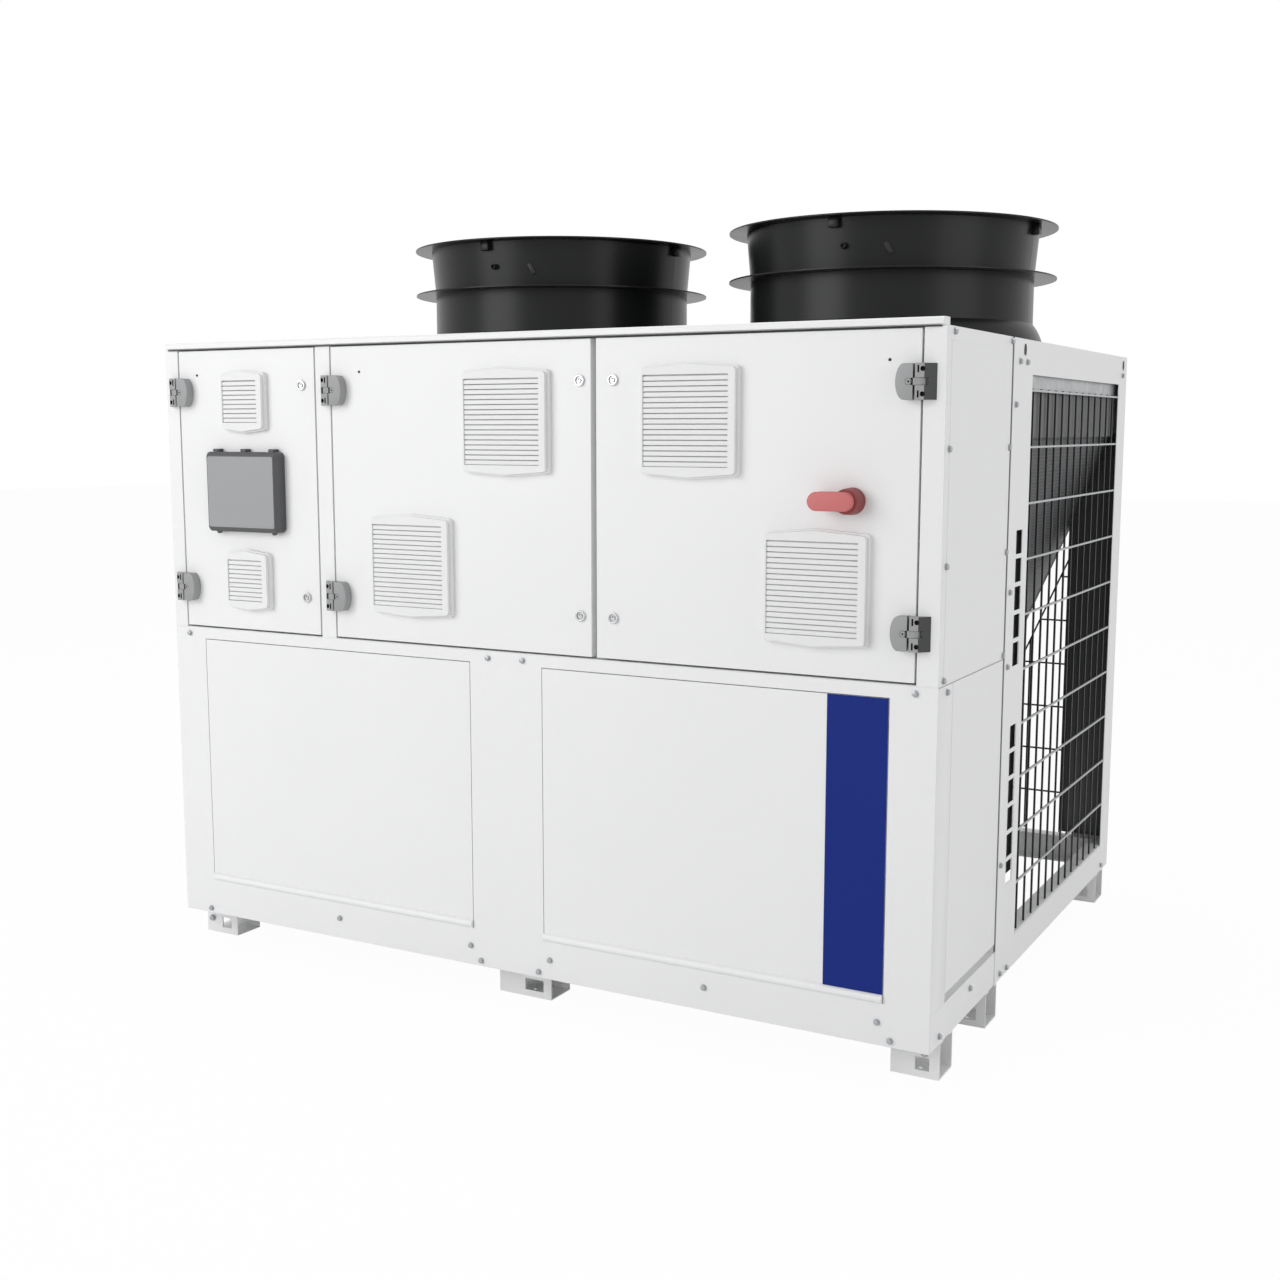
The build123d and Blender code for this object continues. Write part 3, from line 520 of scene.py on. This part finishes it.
boss = rod(boss_radius, boss_long, (0.0, 0.0, 0.0), boss_edge)
pick(boss, lambda normal: normal.z > 0.9)
bpy.ops.mesh.inset(thickness=boss_radius * boss_wall_share)
bpy.ops.mesh.extrude_region_move(TRANSFORM_OT_translate={"value": (0.0, 0.0, -boss_long / 2)})
bpy.ops.object.mode_set(mode="OBJECT")
outwards = Matrix.Translation((boss_face, 0.0, boss_height)) @ Matrix.Rotation(
    math.radians(90.0), 4, "Y")
bosses = copies(boss, [round_duct(name, boss_angle) @ outwards for name in duct_names],
                "duct_bosses")
fitted(bosses, duct_black, "housing")
hook = block(hook_size, (0.0, 0.0, 0.0), hook_edge)
leaning = Matrix.Translation((hook_face, 0.0, hook_height)) @ Matrix.Rotation(
    math.radians(hook_lean), 4, "X")
hooks = copies(hook, [round_duct(name, hook_angle) @ leaning for name in duct_names],
               "duct_hooks")
# Painted shade: the near black of the hook pocket. The door rivets use it as their own black.
pocket_shade_and_rivet_black = coated("pocket_shade_and_rivet_black", (0.004, 0.004, 0.0045), (0.003, 0.003, 0.0035),
                    roughness=0.5)
fitted(hooks, pocket_shade_and_rivet_black, "housing")

# Fan rotors and motors: grey moulded blades on a black drum, over a black cast motor.
rotor_grey = coated("rotor_grey", (0.05, 0.052, 0.055), (0.04, 0.042, 0.045), roughness=0.45)
dress(rotor_grey, "fan_rotors")
motor_black = coated("motor_black", (0.02, 0.02, 0.021), (0.015, 0.015, 0.016), roughness=0.5)
dress(motor_black, "fan_motors")

# Hinges: moulded in glass filled plastic, in two halves on one steel pin. The post half is two
# lugs on a spine with a slanting side, each with a screw pocket and a slit. The door half
# is a rounded plate with a tongue between the lugs, hollowed where it turns round them.
# The slanting side takes a darker grey, partly a dark moulding and partly painted shade, and
# the walls of the pockets and slits take it as painted shade.
hinge_levels = (1.038, 1.5775)
hinge_half_height = 0.0385
hinge_axis_deep = 0.0125
hinge_axis_inset = 0.0115
hinge_post_reach = 0.0325
hinge_door_reach = 0.0525
hinge_shoulder = 0.034
hinge_face_reach = 0.0123
hinge_turn_radius = 0.0122
hinge_bowl = 0.018
hinge_spine = 0.0195
lug_face_reach = 0.0085
lug_foot = 0.008
lug_back_start = -0.001
tongue_half = 0.0075
tongue_start = 0.0025
tongue_play = 0.0002
plate_edge = 0.0014
pocket_radius = 0.0054
pocket_deep = 0.012
pocket_at = 0.0086
pocket_level = 0.0265
slit_size = (0.004, 0.016, 0.015)
slit_at = 0.0012
socket_at = 0.023
socket_radius = 0.0022
socket_ring = (0.0066, 0.0074)
socket_ring_deep = 0.0009
groove_half = 0.003
wall_play = 0.0001
end_play = 0.0003
first_front_angle = -20.0
arc_steps = 9
merge_distance = 0.000005
hinge_axes = (
    ("left_leaf", "left_door_hinges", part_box("left_door_hinges")[0][0] + hinge_axis_inset, 1.0),
    ("middle_leaf", "middle_door_hinges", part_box("middle_door_hinges")[0][0] + hinge_axis_inset,
     1.0),
    ("right_leaf", "right_door_hinges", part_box("right_door_hinges")[1][0] - hinge_axis_inset,
     -1.0),
)


def drawn(points, edges, faces):
    """A new piece from its points and what joins them, open in edit mode."""
    outline = bpy.data.meshes.new("outline")
    outline.from_pydata(points, edges, faces)
    piece = bpy.data.objects.new("outline", outline)
    bpy.context.collection.objects.link(piece)
    opened(piece)
    return piece


def face_outwards():
    """Turns all faces of the piece that is open outwards, and closes it."""
    bpy.ops.mesh.select_all(action="SELECT")
    bpy.ops.mesh.normals_make_consistent(inside=False)
    bpy.ops.object.mode_set(mode="OBJECT")


def prism(outlines, along):
    """A closed form: flat outlines that share their corners, drawn along a vector."""
    points, places, faces = [], {}, []
    for outline in outlines:
        face = []
        for point in outline:
            key = tuple(round(part, 6) for part in point)
            if key not in places:
                places[key] = len(points)
                points.append(point)
            face.append(places[key])
        faces.append(face)
    piece = drawn(points, [], faces)
    bpy.ops.mesh.extrude_region_move(TRANSFORM_OT_translate={"value": along})
    face_outwards()
    return piece


def turned(profile, sides=32):
    """A round form turned about Z from a run of radius and height pairs."""
    run = [(radius, 0.0, height) for radius, height in profile]
    piece = drawn(run, [(place, place + 1) for place in range(len(run) - 1)], [])
    bpy.ops.mesh.spin(steps=sides, angle=math.radians(-360.0), center=(0.0, 0.0, 0.0),
                      axis=(0.0, 0.0, 1.0))
    bpy.ops.mesh.select_all(action="SELECT")
    bpy.ops.mesh.remove_doubles(threshold=merge_distance)
    face_outwards()
    return piece


def cut(piece, tool):
    """Takes a tool's shape out of a piece."""
    alone()
    piece.select_set(True)
    bpy.context.view_layer.objects.active = piece
    removal = piece.modifiers.new("removal", "BOOLEAN")
    removal.object = tool
    removal.operation = "DIFFERENCE"
    removal.solver = "EXACT"
    bpy.ops.object.modifier_apply(modifier="removal")
    bpy.data.objects.remove(tool)
    return piece


def arc(radius, first, last, steps=arc_steps):
    """Points along an arc about the origin, from one angle to another."""
    return [(radius * math.cos(math.radians(first + (last - first) * step / (steps - 1))),
             radius * math.sin(math.radians(first + (last - first) * step / (steps - 1))))
            for step in range(steps)]


def raised(points, foot):
    """Flat points lifted to a height."""
    return [(x, y, foot) for x, y in points]


front_face_y = -hinge_axis_deep
lug_outline = [(lug_face_reach, front_face_y)]
lug_outline += arc(hinge_turn_radius, first_front_angle, 90.0)
lug_outline += [(lug_back_start, hinge_axis_deep), (-hinge_post_reach, hinge_axis_deep),
                (-hinge_face_reach, front_face_y)]
slope_share = (hinge_spine - hinge_face_reach) / (hinge_post_reach - hinge_face_reach)
spine_outline = [
    (-hinge_spine, hinge_axis_deep), (-hinge_post_reach, hinge_axis_deep),
    (-hinge_spine, front_face_y + 2 * hinge_axis_deep * slope_share)]
forward = Matrix.Rotation(math.radians(90.0), 4, "X")
lugs = []
for side in (-1, 1):
    foot = lug_foot if side > 0 else -hinge_half_height
    lug = prism([raised(lug_outline, foot)], (0.0, 0.0, hinge_half_height - lug_foot))
    pocket = rod(pocket_radius, 2 * pocket_deep, (0.0, 0.0, 0.0))
    pocket.data.transform(Matrix.Translation(
        (-pocket_at, front_face_y, side * pocket_level)) @ forward)
    cut(lug, pocket)
    cut(lug, block(slit_size, (slit_at, front_face_y, side * pocket_level)))
    lugs.append(lug)
lugs.append(prism([raised(spine_outline, -lug_foot)], (0.0, 0.0, 2 * lug_foot)))
post_half = joined(lugs, "post_half")
hinge_dark_and_shade = coated("hinge_dark_and_shade", (0.040, 0.041, 0.043), (0.030, 0.031, 0.033), roughness=0.5)
hinge_grey = coated("hinge_grey", (0.335, 0.337, 0.342), (0.305, 0.307, 0.312), roughness=0.45)
post_half.data.materials.append(hinge_grey)
post_half.data.materials.append(hinge_dark_and_shade)
# Painted shade: the slanting side and the walls of the pockets and slits get the darker grey.
for face in post_half.data.polygons:
    beside = abs(abs(face.center.z) - pocket_level) < slit_size[2] / 2 + wall_play
    sunk = front_face_y + end_play < face.center.y < hinge_axis_deep - end_play
    within = -pocket_at - pocket_radius - wall_play < face.center.x < slit_at + slit_size[0]
    if face.normal.x < -0.6 and face.normal.y < -0.3 or beside and sunk and within:
        face.material_index = 1
plate_outline = [(hinge_shoulder, -hinge_half_height)]
plate_outline += [
    (hinge_shoulder + (hinge_door_reach - hinge_shoulder) * math.cos(math.radians(turn)),
     hinge_half_height * math.sin(math.radians(turn))) for turn in range(-80, 81, 10)]
plate_outline += [(hinge_shoulder, hinge_half_height), (0.0, hinge_half_height),
                  (0.0, -hinge_half_height)]
plate = prism([[(x, hinge_axis_deep, z) for x, z in plate_outline]],
              (0.0, -2 * hinge_axis_deep, 0.0))
pick(plate, lambda normal: normal.y < -0.9)
rounded(plate_edge, 2)
cut(plate, rod(hinge_bowl, 3 * hinge_half_height, (0.0, 0.0, 0.0), sides=64))
socket = rod(socket_radius, 2 * pocket_deep, (0.0, 0.0, 0.0))
socket.data.transform(Matrix.Translation((socket_at, front_face_y, 0.0)) @ forward)
cut(plate, socket)
small, large = socket_ring
groove = turned([(small, -groove_half), (large, -groove_half), (large, groove_half),
                 (small, groove_half), (small, -groove_half)])
groove.data.transform(Matrix.Translation(
    (socket_at, front_face_y - groove_half + socket_ring_deep, 0.0)) @ forward)
cut(plate, groove)
tongue_outline = [(hinge_bowl, front_face_y), (hinge_bowl, hinge_axis_deep),
                  (tongue_start, hinge_axis_deep)]
tongue_outline += arc(hinge_turn_radius - tongue_play, 85.0, 275.0, 17)
tongue_outline += [(tongue_start, front_face_y)]
tongue = prism([raised(tongue_outline, -tongue_half)], (0.0, 0.0, 2 * tongue_half))
door_half = joined([plate, tongue], "door_half")


def hinge_moves(at, side):
    """The moves that put a hinge half at both levels of an axis, mirrored by its side."""
    return [Matrix.Translation((at, front_plane - hinge_axis_deep, height)) @
            Matrix.Scale(side, 4, (1.0, 0.0, 0.0)) for height in hinge_levels]


left_end, front_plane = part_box("lower_front_frame")[0][:2]
post_moves = []
for body, node, at, side in hinge_axes:
    post_moves += hinge_moves(at, side)
    door_copy = door_half.copy()
    door_copy.data = door_half.data.copy()
    bpy.context.collection.objects.link(door_copy)
    door_piece = copies(door_copy, hinge_moves(at, side), node + "_detail")
    fitted(door_piece, hinge_grey, body)
    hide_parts(node)
bpy.data.objects.remove(door_half)
post_piece = copies(post_half, post_moves, "hinge_post_halves_detail")
fitted(post_piece, hinge_grey, "housing")
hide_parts("hinge_post_halves")

# Locks: die cast zinc escutcheons, a rounded rim round a sunk ring, and a core with a key slot.
lock_rim = ((0.0, 0.0), (0.0135, 0.0), (0.0135, 0.0046), (0.0126, 0.0058), (0.0112, 0.006),
            (0.0098, 0.0058), (0.0090, 0.0048), (0.0088, 0.0022), (0.0056, 0.0022), (0.0054, 0.0046),
            (0.0046, 0.0052), (0.0, 0.0052))
key_slot = (0.0030, 0.0046, 0.006)
key_slot_at = (0.0, 0.0038, 0.005)
lock_levels = (1.027, 1.592)
lock_zinc = coated("lock_zinc", (0.62, 0.625, 0.635), (0.54, 0.545, 0.555), metal=0.65,
                   roughness=0.24, edge_radius=0.0004)
for body, node in (("left_leaf", "left_door_locks"), ("middle_leaf", "middle_door_locks"),
                   ("right_leaf", "right_door_locks")):
    low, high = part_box(node)
    rim = turned(lock_rim, 48)
    cut(rim, block(key_slot, key_slot_at))
    lock_piece = copies(
        rim, [Matrix.Translation(((low[0] + high[0]) / 2, front_plane, height)) @ forward
              for height in lock_levels], node + "_detail")
    fitted(lock_piece, lock_zinc, body)
    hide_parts(node)

# Filter grilles: white moulded plastic. A stepped frame with low peaks at its top and bottom
# holds sloping slats with upright faces, which run out to its left edge.
grille_deep = 0.022
grille_base_deep = 0.013
grille_step = 0.0045
grille_peak = 0.009
grille_corner = 0.007
corner_cut_share = 0.3
slat_left_margin = 0.008
slat_right_margin = 0.022
slat_end_margin = 0.0195
slat_pitch = 0.0123
slat_face = 0.0094
slat_slope = 0.0065
slat_back = 0.012
slat_sheet = 0.0016
slat_setback = 0.003
grille_white = coated("grille_white", (0.83, 0.832, 0.835), (0.805, 0.807, 0.811),
                      roughness=0.42)


def grille(size):
    """One grille about its own middle, its back at zero and its face towards the front."""
    half = size / 2
    x0, x1 = slat_left_margin - half, half - slat_right_margin
    z1 = half - slat_end_margin
    parts = []
    for shrink, near, far in ((0.0, 0.0, grille_base_deep),
                              (grille_step, grille_base_deep, grille_deep)):
        edge = half - shrink
        bend = edge - grille_corner
        over = grille_peak * grille_corner / edge
        mid = edge - corner_cut_share * grille_corner
        top = [(x0, z1), (x1, z1), (edge, bend), (mid, mid + over / 2), (bend, edge + over),
               (0.0, edge + grille_peak), (-bend, edge + over), (-mid, mid + over / 2),
               (-edge, bend)]
        bars = [top, [(x, -z) for x, z in top],
                [(x1, -z1), (edge, -bend), (edge, bend), (x1, z1)],
                [(x0, -z1), (-edge, -bend), (-edge, bend), (x0, z1)]]
        parts.append(prism([[(x, -near, z) for x, z in bar] for bar in bars],
                           (0.0, near - far, 0.0)))
    count = int(2 * z1 // slat_pitch)
    face_y = slat_setback - grille_deep
    back_y = face_y + slat_back
    for row in range(count):
        foot = -z1 + (2 * z1 - count * slat_pitch) / 2 + row * slat_pitch
        crest = foot + slat_face
        parts.append(prism([[(x0, face_y, foot), (x0, face_y, crest),
                             (x0, back_y, crest + slat_slope),
                             (x0, back_y, crest + slat_slope - slat_sheet),
                             (x0, face_y + slat_sheet, crest - slat_sheet),
                             (x0, face_y + slat_sheet, foot)]], (x1 - x0, 0.0, 0.0)))
    return joined(parts, "grille")


small_grille = 0.152
large_grille = 0.250
for body, node, size, places in (
        ("left_leaf", "left_door_grilles", small_grille, ((0.292, 1.551), (0.292, 1.065))),
        ("middle_leaf", "middle_door_grilles", large_grille, ((1.141, 1.495), (0.847, 1.128))),
        ("right_leaf", "right_door_grilles", large_grille, ((1.647, 1.496), (1.965, 1.125)))):
    grille_piece = copies(grille(size), [
        Matrix.Translation((left_end + x, front_plane, z)) for x, z in places], node + "_detail")
    fitted(grille_piece, grille_white, body)
    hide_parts(node)

# Display: a moulded housing and cover, with a grey panel let into the cover's front, and the
# dark screen inside it. The housing and cover are dark grey, partly as painted shade for the
# shade on the display's sides.
cover_levels = (1.199, 1.416)
panel_margin = 0.0125
panel_round = 0.006
panel_thick = 0.0008
# Painted shade, in part: the dark grey of the housing and cover.
display_dark_and_shade = coated("display_dark_and_shade", (0.085, 0.086, 0.090), (0.070, 0.071, 0.075),
                      roughness=0.40)
dress(display_dark_and_shade, "display_housing", "display_cover")
display_grey = coated("display_grey", (0.335, 0.338, 0.350), (0.315, 0.318, 0.330),
                      roughness=0.45)
low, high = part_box("display_cover")
panel_low = (low[0] + panel_margin, cover_levels[0] + panel_margin)
panel_high = (high[0] - panel_margin, cover_levels[1] - panel_margin)
panel_corners = []
for x, z, first in ((panel_high[0], panel_high[1], 0.0), (panel_low[0], panel_high[1], 90.0),
                    (panel_low[0], panel_low[1], 180.0), (panel_high[0], panel_low[1], 270.0)):
    centre_x = x - panel_round if first in (0.0, 270.0) else x + panel_round
    centre_z = z - panel_round if first in (0.0, 90.0) else z + panel_round
    panel_corners += [(centre_x + a, low[1], centre_z + b)
                      for a, b in arc(panel_round, first, first + 90.0, 5)]
panel = joined([prism([panel_corners], (0.0, -panel_thick, 0.0))], "display_panel")
fitted(panel, display_grey, "cover")
screen_dark = coated("screen_dark", (0.02, 0.024, 0.03), (0.015, 0.018, 0.024), roughness=0.12)
dress(screen_dark, "display_screen")

# Isolator: a round base and knob on the right hand door, and the lever that stands across the
# knob, all in one red moulding with rounded edges. The base and knob take a darker red as
# painted shade, and the lever a paler red as painted light on its front.
base_profile = ((0.0, 0.0), (0.030, 0.0), (0.030, 0.011), (0.0295, 0.0128), (0.028, 0.014),
                (0.0, 0.014))
knob_profile = ((0.0, 0.0143), (0.0296, 0.0143), (0.0285, 0.040), (0.0275, 0.0445),
                (0.0255, 0.046), (0.0, 0.046))
lever_near = 0.024
lever_far = 0.060
lever_half = 0.021
lever_end = 0.064
lever_edge = 0.004
# Painted light and shade: a paler red for the lit lever, a darker red for the shaded base and knob.
handle_red = coated("handle_red", (0.62, 0.165, 0.165), (0.57, 0.150, 0.150), roughness=0.48)
knob_shaded_red = coated("knob_shaded_red", (0.26, 0.040, 0.038), (0.22, 0.034, 0.032), roughness=0.45)
low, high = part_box("isolator_mount")
stand = Matrix.Translation(((low[0] + high[0]) / 2, front_plane, (low[2] + high[2]) / 2))
mount_piece = copies(turned(base_profile, 48), [stand @ forward], "isolator_mount_detail")
fitted(mount_piece, knob_shaded_red, "right_leaf")
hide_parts("isolator_mount")
lever_outline = [(x, -lever_near, z) for x, z in arc(lever_half, -90.0, 90.0, 17)]
lever_outline += [(x - lever_end, -lever_near, z) for x, z in arc(lever_half, 90.0, 270.0, 17)]
lever = prism([lever_outline], (0.0, lever_near - lever_far, 0.0))
pick(lever, lambda normal: normal.y < -0.9)
rounded(lever_edge, 3)
knob = turned(knob_profile, 48)
knob.data.transform(forward)
knob.data.materials.append(knob_shaded_red)
lever.data.materials.append(handle_red)
handle = joined([lever, knob], "isolator_handle_detail")
handle.data.transform(stand)
fitted(handle, handle_red, "lever")
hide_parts("isolator_handle")

# Covers on the coils' heads and behind the slots of the side frames: dark coated strips of
# sheet, alike on both ends, which close the gaps beside the coils. Their dark grey is partly
# painted shade, for the shade in the slots and beside the coils' heads.
strip_thick = 0.0010
head_strip = (-0.338, 0.822, 1.455, 1.573)
slot_strip = (-0.284, -0.177, 0.345, 1.275)
strip_face = 0.0001
strip_round = 0.0003
# Painted shade, in part: the strips' dark grey.
strip_shade_grey = coated("strip_shade_grey", (0.135, 0.137, 0.142), (0.112, 0.114, 0.118), metal=0.2,
                    roughness=0.45)
plenum_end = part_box("plenum_plates")[1][0]
strips = []
for y0, y1, z0, z1 in (head_strip, slot_strip):
    strips.append(block((strip_thick, y1 - y0, z1 - z0),
                        (plenum_end + strip_face + strip_thick / 2, (y0 + y1) / 2,
                         (z0 + z1) / 2), strip_round))
both_ends = [Matrix.Identity(4), Matrix.Scale(-1.0, 4, (1.0, 0.0, 0.0))]
strip_piece = copies(joined(strips, "cover_strips"), both_ends, "cover_strips")
fitted(strip_piece, strip_shade_grey, "housing")

# Side panels: powder coated steel trays over the ends of the technical section. The lower one
# is turned in along its foot as a grip, the upper one has a raised field, and a dark rubber
# profile closes the joint to the side frames.
tray_deep = 0.022
tray_edge = 0.0008
margin_wide = 0.1015
grip_deep = 0.0200
grip_high = 0.0215
grip_gap = 0.0010
low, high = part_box("lower_side_panels")
end_face = high[0]
grip_outline = [
    (end_face - tray_deep, low[2]), (end_face - grip_deep, low[2]),
    (end_face - grip_deep, low[2] + grip_high), (end_face, low[2] + grip_high),
    (end_face, high[2]), (end_face - tray_deep, high[2]),
]
grip_start = low[1] + margin_wide + grip_gap
tray = prism([[(x, grip_start, z) for x, z in grip_outline]],
             (0.0, high[1] - grip_start, 0.0))
margin = block((tray_deep, margin_wide, high[2] - low[2]),
               (end_face - tray_deep / 2, low[1] + margin_wide / 2, (low[2] + high[2]) / 2),
               tray_edge)
lower_trays = copies(joined([margin, tray], "lower_side_panels_detail"), both_ends,
                     "lower_side_panels_detail")
fitted(lower_trays, white_paint, "housing")
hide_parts("lower_side_panels")

field_proud = 0.0014
field_edge = 0.0010
field_sides = (0.030, 0.018)
field_ends = (0.004, 0.030)
low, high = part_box("upper_side_panels")
field_low = (low[1] + field_sides[0], low[2] + field_ends[0])
field_high = (high[1] - field_sides[1], high[2] - field_ends[1])
field = block((2 * field_proud, field_high[0] - field_low[0], field_high[1] - field_low[1]),
              (end_face, (field_low[0] + field_high[0]) / 2, (field_low[1] + field_high[1]) / 2),
              field_edge, 1)
fields = copies(joined([field], "upper_side_fields"), both_ends, "upper_side_fields")
fitted(fields, white_paint, "housing")

joint_gap = 0.0012
joint_sunk = 0.0018
joint_thick = 0.0020
joint_round = 0.0004
joint_ends = (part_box("lower_side_panels")[0][2], high[2])
joint_start = high[1] + joint_gap
joint_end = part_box("right_side_frame")[0][1] - joint_gap
profile_strip = block(
    (joint_thick, joint_end - joint_start, joint_ends[1] - joint_ends[0]),
    (end_face - joint_sunk, (joint_start + joint_end) / 2, sum(joint_ends) / 2), joint_round)
joint_black = coated("joint_black", (0.060, 0.060, 0.062), (0.050, 0.050, 0.052),
                     roughness=0.6)
joints_strip = copies(joined([profile_strip], "section_joint_strips"), both_ends,
                      "section_joint_strips")
fitted(joints_strip, joint_black, "housing")

# Roof gap: a black strip under the rain strip, along the tops of the doors, that paints the
# shadow in the gap there.
shade_strip_high = 0.0030
shade_strip_gap = 0.0004
shade_strip_proud = 0.0040
shade_strip_end = 0.006
shade_strip_edge = 0.0008
low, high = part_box("rain_strip")
roof_shade_strip = block((high[0] - low[0] - 2 * shade_strip_end, shade_strip_proud, shade_strip_high),
             (0.0, front_plane - shade_strip_gap - shade_strip_proud / 2, low[2] - shade_strip_gap - shade_strip_high / 2),
             shade_strip_edge)
roof_shade_strip = joined([roof_shade_strip], "roof_gap_shade")
shade_strip_and_plug_black = coated("shade_strip_and_plug_black", (0.020, 0.020, 0.021), (0.014, 0.014, 0.015), roughness=0.6)
fitted(roof_shade_strip, shade_strip_and_plug_black, "housing")

# Lifting plugs: black rubber plugs in the lifting slots near the top of the side frames, one in
# each front post and one in each rear corner.
plug_long = 0.029
plug_wide = 0.021
plug_proud = 0.0006
plug_drop = 0.0255
plug_places = (0.608, 1.720)
plug_outline = [(0.0, y, z + (plug_long - plug_wide) / 2)
                for y, z in arc(plug_wide / 2, 0.0, 180.0)]
plug_outline += [(0.0, y, z - (plug_long - plug_wide) / 2)
                 for y, z in arc(plug_wide / 2, 180.0, 360.0)]
plug = prism([plug_outline], (plug_proud, 0.0, 0.0))
side_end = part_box("right_side_frame")[1][0]
plugs = copies(plug, [
    mirror @ Matrix.Translation((side_end, front_plane + y, low[2] - plug_drop))
    for y in plug_places for mirror in both_ends], "lifting_plugs")
fitted(plugs, shade_strip_and_plug_black, "housing")

# Frame bolts: zinc plated hexagon bolts with a pressed washer under the head. They hold the
# face frame, the side frames and the posts to the base and to each other, alike on both ends.
washer_radius = 0.0080
washer_thick = 0.0018
washer_edge = 0.0004
head_radius = 0.0066
head_height = 0.0052
head_sunk = 0.0003
head_edge = 0.0007
right_end, rear_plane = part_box("rear_posts")[1][:2]
front_bolts = (
    (0.0525, 0.904), (0.095, 0.103), (0.571, 0.146), (1.008, 0.141), (1.040, 0.1045),
    (1.073, 0.904), (1.177, 0.905), (1.217, 0.105), (1.251, 0.141), (1.687, 0.147),
    (2.126, 0.144), (2.158, 0.105), (2.1985, 0.905),
)
end_bolts = (
    (0.0489, 1.684), (0.4885, 1.684), (0.5633, 1.640), (0.6277, 1.640), (0.5362, 1.536),
    (0.4870, 1.434), (0.4870, 1.183), (0.5339, 1.081), (0.0285, 1.435), (0.0285, 1.183),
    (0.0601, 0.904), (0.0300, 0.933), (0.5330, 0.8965), (0.4860, 0.931), (0.5288, 0.3945),
    (0.2968, 0.150), (0.612, 0.104), (0.552, 0.106), (0.068, 0.110), (1.7118, 1.6387),
    (1.679, 0.1087),
)
rear_bolts = (
    (0.040, 0.110), (0.040, 0.600), (0.040, 1.100), (0.040, 1.640), (1.125, 0.130),
    (1.125, 1.650), (2.210, 0.110), (2.210, 0.600), (2.210, 1.100), (2.210, 1.640),
)
zinc_bolt = coated("zinc_bolt", (0.46, 0.47, 0.49), (0.34, 0.35, 0.37), metal=0.7,
                   cloud_scale=160.0, roughness=0.30, gloss_change=0.15, edge_radius=0.0004)


def seat_of(spot, way):
    """Where a fastener that comes from outside along a direction meets the machine."""
    way = Vector(way)
    start = Vector(spot) - way
    found, place, *_ = bpy.context.scene.ray_cast(
        bpy.context.evaluated_depsgraph_get(), start, way)
    return place if found else Vector(spot)


def facing(spot, way):
    """The move that stands a piece made along Z on the surface met along a direction."""
    turn = Vector(way).to_track_quat("-Z", "Y").to_matrix().to_4x4()
    return Matrix.Translation(seat_of(spot, way)) @ turn


def hexagon_bolt():
    """A bolt head on its washer, standing at the origin."""
    head = rod(head_radius, head_height,
               (0.0, 0.0, washer_thick - head_sunk + head_height / 2), head_edge, sides=6)
    washer = rod(washer_radius, washer_thick, (0.0, 0.0, washer_thick / 2), washer_edge)
    return joined([washer, head], "bolt")


bolt_moves = [facing((left_end + x, front_plane, z), (0, 1, 0)) for x, z in front_bolts]
bolt_moves += [facing((right_end, front_plane + y, z), (-1, 0, 0)) for y, z in end_bolts]
bolt_moves += [facing((left_end, front_plane + y, z), (1, 0, 0)) for y, z in end_bolts]
bolt_moves += [facing((left_end + x, rear_plane, z), (0, -1, 0)) for x, z in rear_bolts]
frame_bolts = copies(hexagon_bolt(), bolt_moves, "frame_bolts")
fitted(frame_bolts, zinc_bolt, "housing")

# Foot bolts: larger bolts of the same kind, which hold the folded feet up to the base.
foot_bolt_scale = 1.25
foot_front = 0.078
foot_bolts = ((0.0216, 0.041), (1.140, 0.0405), (2.215, 0.060))
bolt = hexagon_bolt()
bolt.data.transform(Matrix.Scale(foot_bolt_scale, 4))
bolt_moves = [facing((left_end + x, front_plane + foot_front, z), (0, 1, 0))
              for x, z in foot_bolts]
fitted(copies(bolt, bolt_moves, "foot_bolts"), zinc_bolt, "housing")

# Blind rivets in the doors: small black domed heads near the top corners, one to a door.
rivet_radius = 0.0034
rivet_height = 0.0016
rivet_edge = 0.0006
rivets = (("left_leaf", 0.115, 1.624), ("middle_leaf", 0.682, 1.624),
          ("right_leaf", 2.124, 1.625))
for body, x, z in rivets:
    rivet = rod(rivet_radius, rivet_height, (0.0, 0.0, rivet_height / 2), rivet_edge, sides=16)
    rivet = copies(rivet, [facing((left_end + x, front_plane, z), (0, 1, 0))],
                   body.replace("leaf", "door_rivet"))
    fitted(rivet, pocket_shade_and_rivet_black, body)

# Corner baffles: dark coated plates folded up behind the rear corner posts, which close the
# space beside the coils, and whose dark grey is partly painted shade for the shade inside the
# rear corners. They stand just clear of the guards' wires.
baffle_width = 0.138
baffle_thick = 0.0015
baffle_fold = 0.020
baffle_foot = 0.182
baffle_top = 1.606
baffle_back = 0.012
baffle_edge = 0.0125
baffle_round = 0.0004
# Painted shade, in part: the baffles' dark grey.
baffle_shade_grey = coated("baffle_shade_grey", (0.062, 0.063, 0.066), (0.050, 0.051, 0.054), metal=0.1,
                     roughness=0.5)
baffle_size = (baffle_width, baffle_thick, baffle_top - baffle_foot)
baffle_middle = (baffle_top + baffle_foot) / 2
sheet_piece = block(
    baffle_size,
    (right_end - baffle_edge - baffle_width / 2, rear_plane - baffle_back, baffle_middle),
    baffle_round)
lip_piece = block(
    (baffle_thick, baffle_fold, baffle_size[2]),
    (right_end - baffle_edge - baffle_width + baffle_thick / 2,
     rear_plane - baffle_back - baffle_fold / 2, baffle_middle), baffle_round)
baffle = joined([sheet_piece, lip_piece], "corner_baffle")
baffles = copies(baffle, both_ends, "corner_baffles")
fitted(baffles, baffle_shade_grey, "housing")
